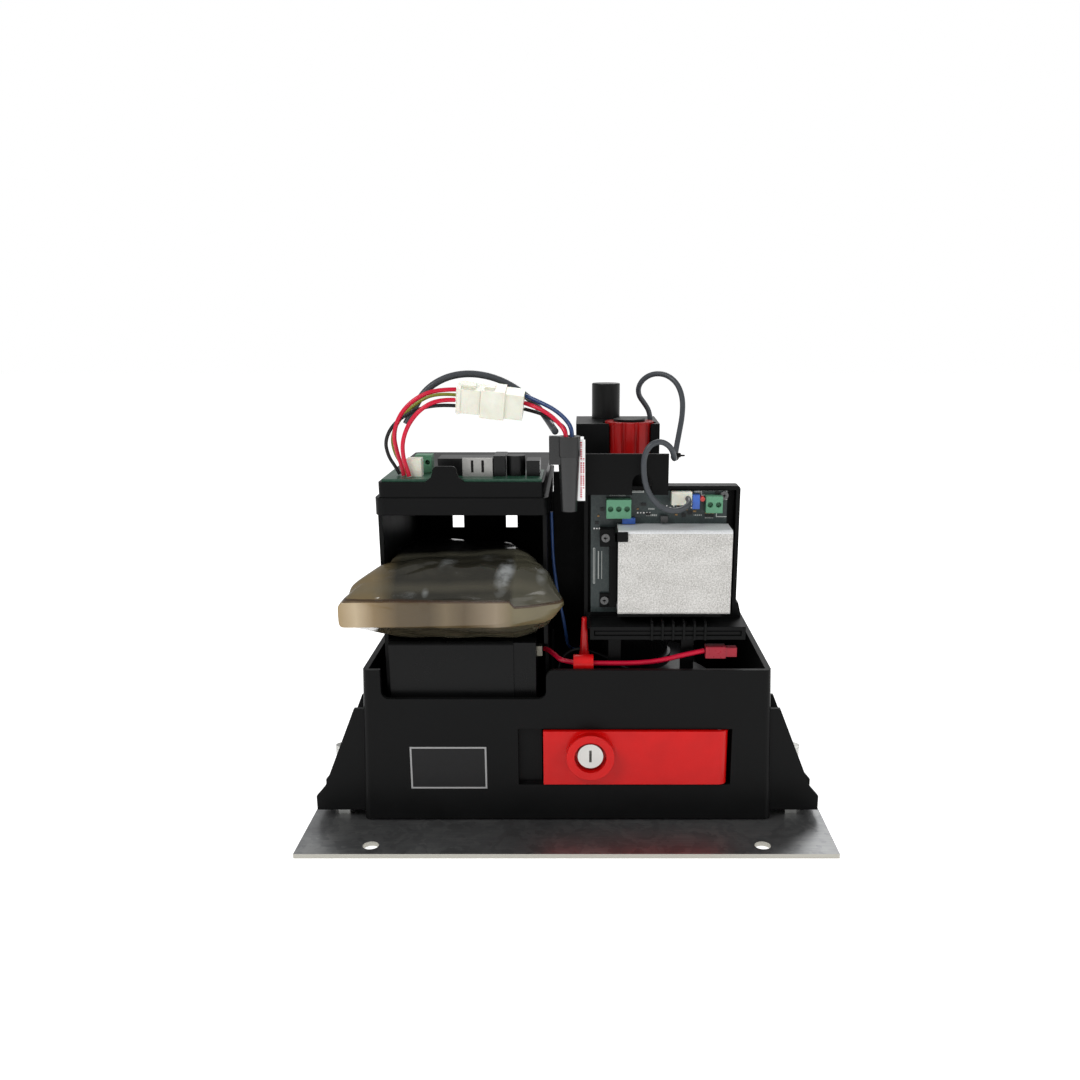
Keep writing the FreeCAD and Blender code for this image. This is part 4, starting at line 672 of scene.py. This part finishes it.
# ---------------------------------------------------------------- oil pouch
# Outlines across the pouch from its front band to its rear end: a depth, then eight
# (across, height) corners from the lower left round to the left-hand fold.
POUCH_RINGS = [
    (-102.0, [
        (-134.6, 138.3), (-40, 140.8), (-34.4, 142.2), (-33.6, 149),
        (-34.4, 155.4), (-42, 156.3), (-131, 154.2), (-134.4, 152.4),
    ]),
    (-98.5, [
        (-134.4, 137.8), (-33, 136.6), (-22, 141.5), (-18, 151),
        (-23, 157.5), (-35, 159.5), (-128.5, 157), (-134.5, 152.6),
    ]),
    (-91.0, [
        (-131, 135.2), (-30, 132.5), (-12, 139.6), (-5, 150),
        (-14.5, 163.5), (-31, 166.5), (-121.5, 164), (-131.5, 156),
    ]),
    (-84.0, [
        (-128, 132.5), (-29, 130.2), (-9.6, 138.4), (-0.4, 149.8),
        (-11, 166.6), (-27, 171.5), (-117, 169), (-128.5, 160),
    ]),
    (-76.0, [
        (-121, 127.8), (-28, 126.4), (-12, 133), (-5, 149.5),
        (-12.5, 169), (-26.5, 174.6), (-113, 172), (-120, 163),
    ]),
    (-69.0, [
        (-111.4, 123.4), (-30, 122.6), (-18, 127.5), (-15.6, 148),
        (-17, 169), (-27, 176.4), (-108.5, 172.2), (-111.2, 165),
    ]),
    (-60.0, [
        (-110.8, 121.8), (-30, 121.7), (-18, 124), (-16, 148),
        (-17.5, 169), (-27, 177.8), (-109, 172.5), (-110.8, 164),
    ]),
    (-45.0, [
        (-110.2, 121.8), (-32, 121.7), (-19, 124), (-17, 146),
        (-19, 168), (-29, 175.8), (-106.5, 175.8), (-110.2, 164),
    ]),
    (-25.0, [
        (-108.6, 121.8), (-36, 121.7), (-23, 124), (-20.4, 146),
        (-23, 165), (-37, 174.6), (-99, 177.2), (-108.4, 161),
    ]),
    (0.0, [
        (-104.6, 122), (-42, 121.8), (-30, 124), (-26, 140),
        (-29, 156), (-43, 166), (-94, 173), (-104.6, 152),
    ]),
    (18.0, [
        (-101, 123.2), (-48, 122.6), (-36, 125), (-32, 135),
        (-35, 144), (-46, 151), (-90, 154), (-101, 141),
    ]),
]
ROUND, BETWEEN = 96, 5  # points round each outline, and rows from one to the next
CORNER_CUTS = (0.05, 0.18)
END_CAP = (0.985, 0.93, 0.6, 0.25)  # how the end outlines shrink towards their middles
FILM_LOW, FILM_REAR, BAND_DEPTH, INNER_DEPTH = 156, -50, -99, -68
MOST_IN, MOST_OUT, LEAST_IN = -1.6, 1.2, -0.05


def eased_ring(corners):
    """A closed outline with its corners cut twice, as evenly spaced points."""
    ring = [Vector(corner) for corner in corners]
    for share in CORNER_CUTS:
        cut = []
        for here, there in zip(ring, ring[1:] + ring[:1]):
            cut += [here.lerp(there, share), here.lerp(there, 1 - share)]
        ring = cut
    ring.append(ring[0])
    steps = [(b - a).length for a, b in zip(ring, ring[1:])]
    spots, gap = [], sum(steps) / ROUND
    leg, walked = 0, 0.0
    for n in range(ROUND):
        while walked + steps[leg] < n * gap:
            walked += steps[leg]
            leg += 1
        spots.append(ring[leg].lerp(ring[leg + 1], (n * gap - walked) / steps[leg]))
    return spots


def between_rings(before, here, there, after, t):
    """A smooth value between two of four in a row."""
    slope_in, slope_out = (there - before) / 2, (after - here) / 2
    cubed = 2 * (here - there) + slope_in + slope_out
    squared = 3 * (there - here) - 2 * slope_in - slope_out
    return here + t * (slope_in + t * (squared + t * cubed))


def fold(spot, stretch, width):
    """Height of a sharp crease near the level lines of a slow noise."""
    value = noise.noise(spot * Vector(stretch))
    return max(0.0, 1 - abs(value) / width)


def pouch_mesh():
    """The pouch lofted through its outlines, closed at both ends and then creased."""
    rings = [
        [Vector((x, depth, z)) for x, z in eased_ring(corners)] for depth, corners in POUCH_RINGS
    ]
    rows = []
    last = len(rings) - 1
    for n in range(last):
        near = [rings[max(n - 1, 0)], rings[n], rings[n + 1], rings[min(n + 2, last)]]
        for step in range(BETWEEN):
            rows.append([between_rings(*four, step / BETWEEN) for four in zip(*near)])
    rows.append(rings[-1])
    front, rear = rows[0], rows[-1]
    for ring, put, push in ((front, False, -0.5), (rear, True, 1.2)):
        middle = sum(ring, Vector()) / ROUND
        for shrink in END_CAP:
            out = Vector((0, push * (1 - shrink) ** 0.5, 0))
            row = [middle + (spot - middle) * shrink + out for spot in ring]
            rows.insert(len(rows) if put else 0, row)
    bm = bmesh.new()
    grid = [[bm.verts.new(mm(*spot)) for spot in row] for row in rows]
    for under, over in zip(grid, grid[1:]):
        for n in range(ROUND):
            m = (n + 1) % ROUND
            bm.faces.new((under[n], under[m], over[m], over[n]))
    for ring in (grid[0], grid[-1]):
        hub = bm.verts.new(sum((vert.co for vert in ring), Vector()) / ROUND)
        for n in range(ROUND):
            bm.faces.new((ring[n], ring[(n + 1) % ROUND], hub))
    bmesh.ops.recalc_face_normals(bm, faces=bm.faces)
    bm.normal_update()
    moves = []
    for vert in bm.verts:
        spot = vert.co / MM
        pucker = 0.35 if spot.y < BAND_DEPTH else 1.1
        move = noise.noise(spot * 0.045) * pucker
        move += noise.noise(spot * 0.13 + Vector((9, 3, 1))) * 0.35 * pucker
        if spot.z > FILM_LOW and spot.y < FILM_REAR:
            move += 1.6 * fold(spot, (0.03, 0.012, 0.012), 0.1)
            move -= 1.2 * fold(spot, (0.016, 0.05, 0.02), 0.08)
            move -= 1.4 * max(0.0, 1 - abs(spot.x + 31 - (spot.y + 84) * 0.15) / 3.5)
        moves.append(min(max(move, MOST_IN), LEAST_IN if spot.y > INNER_DEPTH else MOST_OUT))
    for vert, move in zip(bm.verts, moves):
        vert.co += vert.normal * move * MM
    return bm


pouch = piece("pouch_of_oil", pouch_mesh(), FINISHES["clear_pouch"])
rounder = pouch.modifiers.new("rounder", "SUBSURF")
rounder.levels = rounder.render_levels = 1
smooth(pouch, 75)
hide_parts("oil_pouch")


# ---------------------------------------------------------------- repeated fittings
class Pattern:
    """A Geometry Nodes tree that puts one small form on every point it is given."""

    def __init__(self, name, finish, **sizes):
        self.tree, self.finish = bpy.data.node_groups.new(name, "GeometryNodeTree"), finish
        face = self.tree.interface
        face.new_socket("Points", in_out="INPUT", socket_type="NodeSocketGeometry")
        for word, value in sizes.items():
            kind = "NodeSocketVector" if isinstance(value, tuple) else "NodeSocketFloat"
            given = face.new_socket(word.replace("_", " "), in_out="INPUT", socket_type=kind)
            given.default_value = value
        face.new_socket("Result", in_out="OUTPUT", socket_type="NodeSocketGeometry")
        self.given = self.tree.nodes.new("NodeGroupInput").outputs
        self.result = self.tree.nodes.new("NodeGroupOutput").inputs[0]

    def add(self, kind, settings, inputs, out=0):
        node = self.tree.nodes.new(kind)
        for word, value in settings.items():
            setattr(node, word, value)
        for key, values in inputs.items():
            for value in values if isinstance(values, list) else [values]:
                if isinstance(value, bpy.types.NodeSocket):
                    self.tree.links.new(value, node.inputs[key])
                else:
                    node.inputs[key].default_value = value
        return node.outputs[out]

    def close(self, form, turned=None, grown=None):
        """Put the form on the points, then make it real and give it its finish."""
        inputs = {"Points": self.given["Points"], "Instance": form}
        if turned:
            inputs["Rotation"] = turned
        if grown:
            inputs["Scale"] = grown
        placed = self.add("GeometryNodeInstanceOnPoints", {}, inputs)
        real = self.add("GeometryNodeRealizeInstances", {}, {0: placed})
        done = self.add("GeometryNodeSetMaterial", {}, {"Geometry": real, "Material": self.finish.material})
        self.tree.links.new(done, self.result)

    def make(self, name, places):
        """The pattern on places in millimetres, turned into one plain mesh."""
        dots = bpy.data.meshes.new(name)
        dots.from_pydata([mm(*place) for place in places], [], [])
        maker = bpy.data.objects.new(name, dots)
        bpy.context.scene.collection.objects.link(maker)
        modifier = maker.modifiers.new("pattern", "NODES")
        modifier.node_group = self.tree
        graph = bpy.context.evaluated_depsgraph_get()
        plain = bpy.data.meshes.new_from_object(maker.evaluated_get(graph))
        bpy.data.objects.remove(maker)
        return smooth(piece(name, plain, self.finish))


SCREW_STEEL = drawn_metal("screw_steel", (0.2, 0.2, 0.2), (0.06, 0.06, 0.06), (1, 1, 1), 0.4, 900, 0.8)
screws = Pattern(
    "cross_head_screws", SCREW_STEEL,
    Head_Radius=0.0026, Head_Height=0.0012, Slot=0.0008, Axis=(0.0, -1.0, 0.0),
)
disc = screws.add("GeometryNodeMeshCylinder", {}, {
    "Vertices": 24, "Radius": screws.given["Head Radius"], "Depth": screws.given["Head Height"],
})
arms = []
reach, slot = screws.given["Head Radius"], screws.given["Slot"]
for wide, deep in ((reach, slot), (slot, reach)):
    shape = screws.add("ShaderNodeCombineXYZ", {}, {0: wide, 1: deep, 2: 0.004})
    arm = screws.add("GeometryNodeMeshCube", {}, {"Size": shape})
    arms.append(screws.add("GeometryNodeTransform", {}, {"Geometry": arm, "Translation": (0, 0, 0.0022)}))
head = screws.add("GeometryNodeMeshBoolean", {"operation": "DIFFERENCE"}, {0: disc, 1: arms})
facing = screws.add(
    "FunctionNodeAlignRotationToVector", {"axis": "Z"}, {"Vector": screws.given["Axis"]}
)
screws.close(head, facing)
SCREWS = [(24, -59.6, 184.2), (23.6, -53.6, 142.8), (97.2, -52.2, 209.4)]
screws.make("charger_screws", SCREWS)

threads = Pattern(
    "stud_threads", FINISHES["zinc_fastener"],
    Radius=0.0039, Pitch=0.00125, Length=0.0276, Ridge=0.00036,
)
turns = threads.add(
    "ShaderNodeMath", {"operation": "DIVIDE"},
    {0: threads.given["Length"], 1: threads.given["Pitch"]},
)
coil = threads.add("GeometryNodeCurveSpiral", {}, {
    "Resolution": 20, "Rotations": turns, "Start Radius": threads.given["Radius"],
    "End Radius": threads.given["Radius"], "Height": threads.given["Length"],
})
ridge = threads.add(
    "GeometryNodeCurvePrimitiveCircle", {}, {"Resolution": 5, "Radius": threads.given["Ridge"]}
)
threads.close(threads.add(
    "GeometryNodeCurveToMesh", {}, {"Curve": coil, "Profile Curve": ridge, "Fill Caps": True}
))
STUD_RADIUS, THREAD_START = 4, 21.2
stud_low, stud_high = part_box("mounting_studs")
stud_x = stud_high[0] / MM - STUD_RADIUS
stud_y = (stud_low[1] / MM + STUD_RADIUS, stud_high[1] / MM - STUD_RADIUS)
studs = [(side * stud_x, y, THREAD_START) for side in (-1, 1) for y in stud_y]
threads.make("stud_threads", studs)

comb = Pattern("shelf_comb", BLACK, Fin=(0.0013, 0.0018, 0.0105))
fin = comb.add("GeometryNodeMeshCube", {}, {"Size": comb.given["Fin"]})
comb.close(fin)
FIN_FIRST, FIN_PITCH, FIN_COUNT, FIN_MIDDLE = 52.6, 6.6, 6, 128.2
fin_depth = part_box("charger_tray")[0][1] / MM - 0.5
fins = [(FIN_FIRST + FIN_PITCH * n, fin_depth, FIN_MIDDLE) for n in range(FIN_COUNT)]
comb.make("shelf_comb", fins)

CHIP_BLACK = satin_black("chip_black", 1800, 0.006, 0.35, 0.3, 0)
CHIP_TAN = gloss_plastic("chip_tan", (0.4, 0.22, 0.08), (0.25, 0.14, 0.05), 0.4, 0.1)
SOLDER = drawn_metal("solder", (0.7, 0.7, 0.68), (0.4, 0.4, 0.4), (1, 1, 1), 0.3)
# Small parts on the charger board: finish, size in metres, seed, and (across, height) places.
CHIPS = {
    "black": (CHIP_BLACK, (0.0026, 0.0012, 0.0018), 3, [
        (50.5, 197.6), (66, 199.4), (70, 202), (72.6, 197), (76.4, 198.4), (87, 196.9),
        (90, 196.7), (93, 210.7), (22, 200.5), (18.6, 192), (47.6, 203.6),
    ]),
    "tan": (CHIP_TAN, (0.0016, 0.0009, 0.001), 8, [
        (74.4, 200.6), (79.4, 199.4), (86.6, 198.3), (88.6, 198.3), (90.6, 198.3),
        (68, 197.2), (44, 200.8), (19.6, 196.4),
    ]),
    "metal": (SOLDER, (0.0008, 0.0007, 0.0008), 5, [
        *((62 + 2.2 * n, 202.8 - 1.1 * (n % 2)) for n in range(8)),
        *((17 + 1.6 * n, 188.5) for n in range(4)),
        *((44 + 1.9 * n, 198.4) for n in range(5)),
    ]),
}
card_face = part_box("charger_board")[0][1] / MM - 0.4
for tone, (finish, size, seed, spots) in CHIPS.items():
    chips = Pattern(f"{tone}_chips", finish, Chip_Size=size)
    cube = chips.add("GeometryNodeMeshCube", {}, {"Size": chips.given["Chip Size"]})
    limits = {"Min": (0.75, 1.0, 0.75), "Max": (1.3, 1.0, 1.3), "Seed": seed}
    grown = chips.add("FunctionNodeRandomValue", {"data_type": "FLOAT_VECTOR"}, limits)
    chips.close(cube, grown=grown)
    places = [(x, card_face, z) for x, z in spots]
    chips.make(f"charger_chips_{tone}", places)


# ---------------------------------------------------------------- label, trims and cable tie
def warning_label():
    """A white strip with plain red bars down its length, and no lettering."""
    f = Finish("warning_label", Specular_IOR_Level=0.3)
    along, _, up = f.split()
    rows = (up * 4700).sum("SINE").above(-0.55) * (up * 830).sum("SINE").above(-0.93)
    first = along.between(0.0084, 0.0094) * up.between(0.2105, 0.2445)
    second = along.between(0.0099, 0.0108) * up.between(0.2165, 0.2345)
    ink = first.either(second) * rows
    cloud = f.noise(500, 3)
    strip = f.blend(cloud, (0.8, 0.8, 0.79), (0.9, 0.9, 0.9))
    f.feed("Base Color", f.blend(ink, strip, (0.5, 0.02, 0.05)))
    f.feed("Roughness", f.shift(cloud, 0.35, 0.5))
    return f


label = piece("sleeve_label", block((6.2, -69.8, 209), (11.3, -69.3, 245.5), 0.12), warning_label())

rail = block((17.2, -73.6, 125.8), (107.9, -71.6, 128.5), 0.3)
piece("shelf_rail", rail, BLACK)
finger = block((29.4, -75.3, 184.8), (31.0, -59.2, 190.6), 0.3)
block((29.4, -75.3, 184.8), (37.2, -74.15, 190.9), 0.3, finger)
piece("sink_clip_finger", finger, BLACK)
edge = block((-11.95, 34.6, 98.2), (-10.4, 37.9, 198), 0.15)
piece("shroud_edge", edge, BLACK)

TIE_PROFILE = [(1.75, -0.9), (2.5, -0.9), (2.6, 0), (2.5, 0.9), (1.75, 0.9)]
tie = turned(TIE_PROFILE, (65.7, -57.8, 234.0), 24)
block((66.6, -59.4, 233.6), (69.2, -57, 236.2), 0.3, tie)
block((68.6, -58.7, 234.2), (71.6, -57.8, 235.2), 0.2, tie)
cable_tie = smooth(piece("cable_tie", tie, BLACK))

# ---------------------------------------------------------------- room and camera
FLOOR_GLOW, WORLD_LIGHT, WORLD_SEEN = 0.62, 0.45, 1.0
floor_mesh = bmesh.new()
bmesh.ops.create_grid(floor_mesh, x_segments=2, y_segments=2, size=6)
floor_data = bpy.data.meshes.new("floor")
floor_mesh.to_mesh(floor_data)
floor_mesh.free()
floor = bpy.data.objects.new("floor", floor_data)
bpy.context.scene.collection.objects.link(floor)
paper = Finish("pale_paper")
paper.feed("Base Color", paper.blend(paper.noise(3, 2), (0.86, 0.86, 0.86), (0.9, 0.9, 0.9)))
paper.feed("Roughness", paper.shift(paper.noise(5, 2), 0.7, 0.85))
paper.shader.inputs["Emission Color"].default_value = (1, 1, 1, 1)
paper.shader.inputs["Emission Strength"].default_value = FLOOR_GLOW
dress(floor, paper)

world = bpy.data.worlds.new("studio")
bpy.context.scene.world = world
world.use_nodes = True
sky = world.node_tree.nodes["Background"]
seen = world.node_tree.nodes.new("ShaderNodeLightPath")
level = world.node_tree.nodes.new("ShaderNodeMapRange")
level.inputs["To Min"].default_value = WORLD_LIGHT
level.inputs["To Max"].default_value = WORLD_SEEN
world.node_tree.links.new(seen.outputs["Is Camera Ray"], level.inputs["Value"])
world.node_tree.links.new(level.outputs["Result"], sky.inputs["Strength"])
sky.inputs["Color"].default_value = (1, 1, 1, 1)


def lamp(name, place, aim, size, power):
    """A round soft light at a place, turned to its aim."""
    data = bpy.data.lights.new(name, "AREA")
    data.shape, data.size, data.energy = "DISK", size, power
    obj = bpy.data.objects.new(name, data)
    obj.location = place
    obj.rotation_mode = "QUATERNION"
    obj.rotation_quaternion = (Vector(aim) - Vector(place)).to_track_quat("-Z", "Y")
    bpy.context.scene.collection.objects.link(obj)


TARGET = (0, 0, 0.12)
lamp("key", (-0.9, -1.0, 1.3), TARGET, 0.7, 13)
lamp("fill", (1.1, -0.8, 0.8), TARGET, 0.8, 5)
lamp("rim", (0.2, 1.1, 1.2), TARGET, 0.8, 8)

LOOK_DOWN = 16  # degrees
lens = bpy.data.cameras.new("camera")
lens.sensor_width, lens.lens = 36, 35
lens.shift_x, lens.shift_y = -0.0389, 0.0769
lens.clip_start, lens.clip_end = 0.05, 30
camera = bpy.data.objects.new("camera", lens)
camera.location = (0.0094, -0.697, 0.3124)
camera.rotation_euler = (math.radians(90 - LOOK_DOWN), 0, 0)
bpy.context.scene.collection.objects.link(camera)
bpy.context.scene.camera = camera
bpy.context.scene.view_settings.view_transform = "Standard"
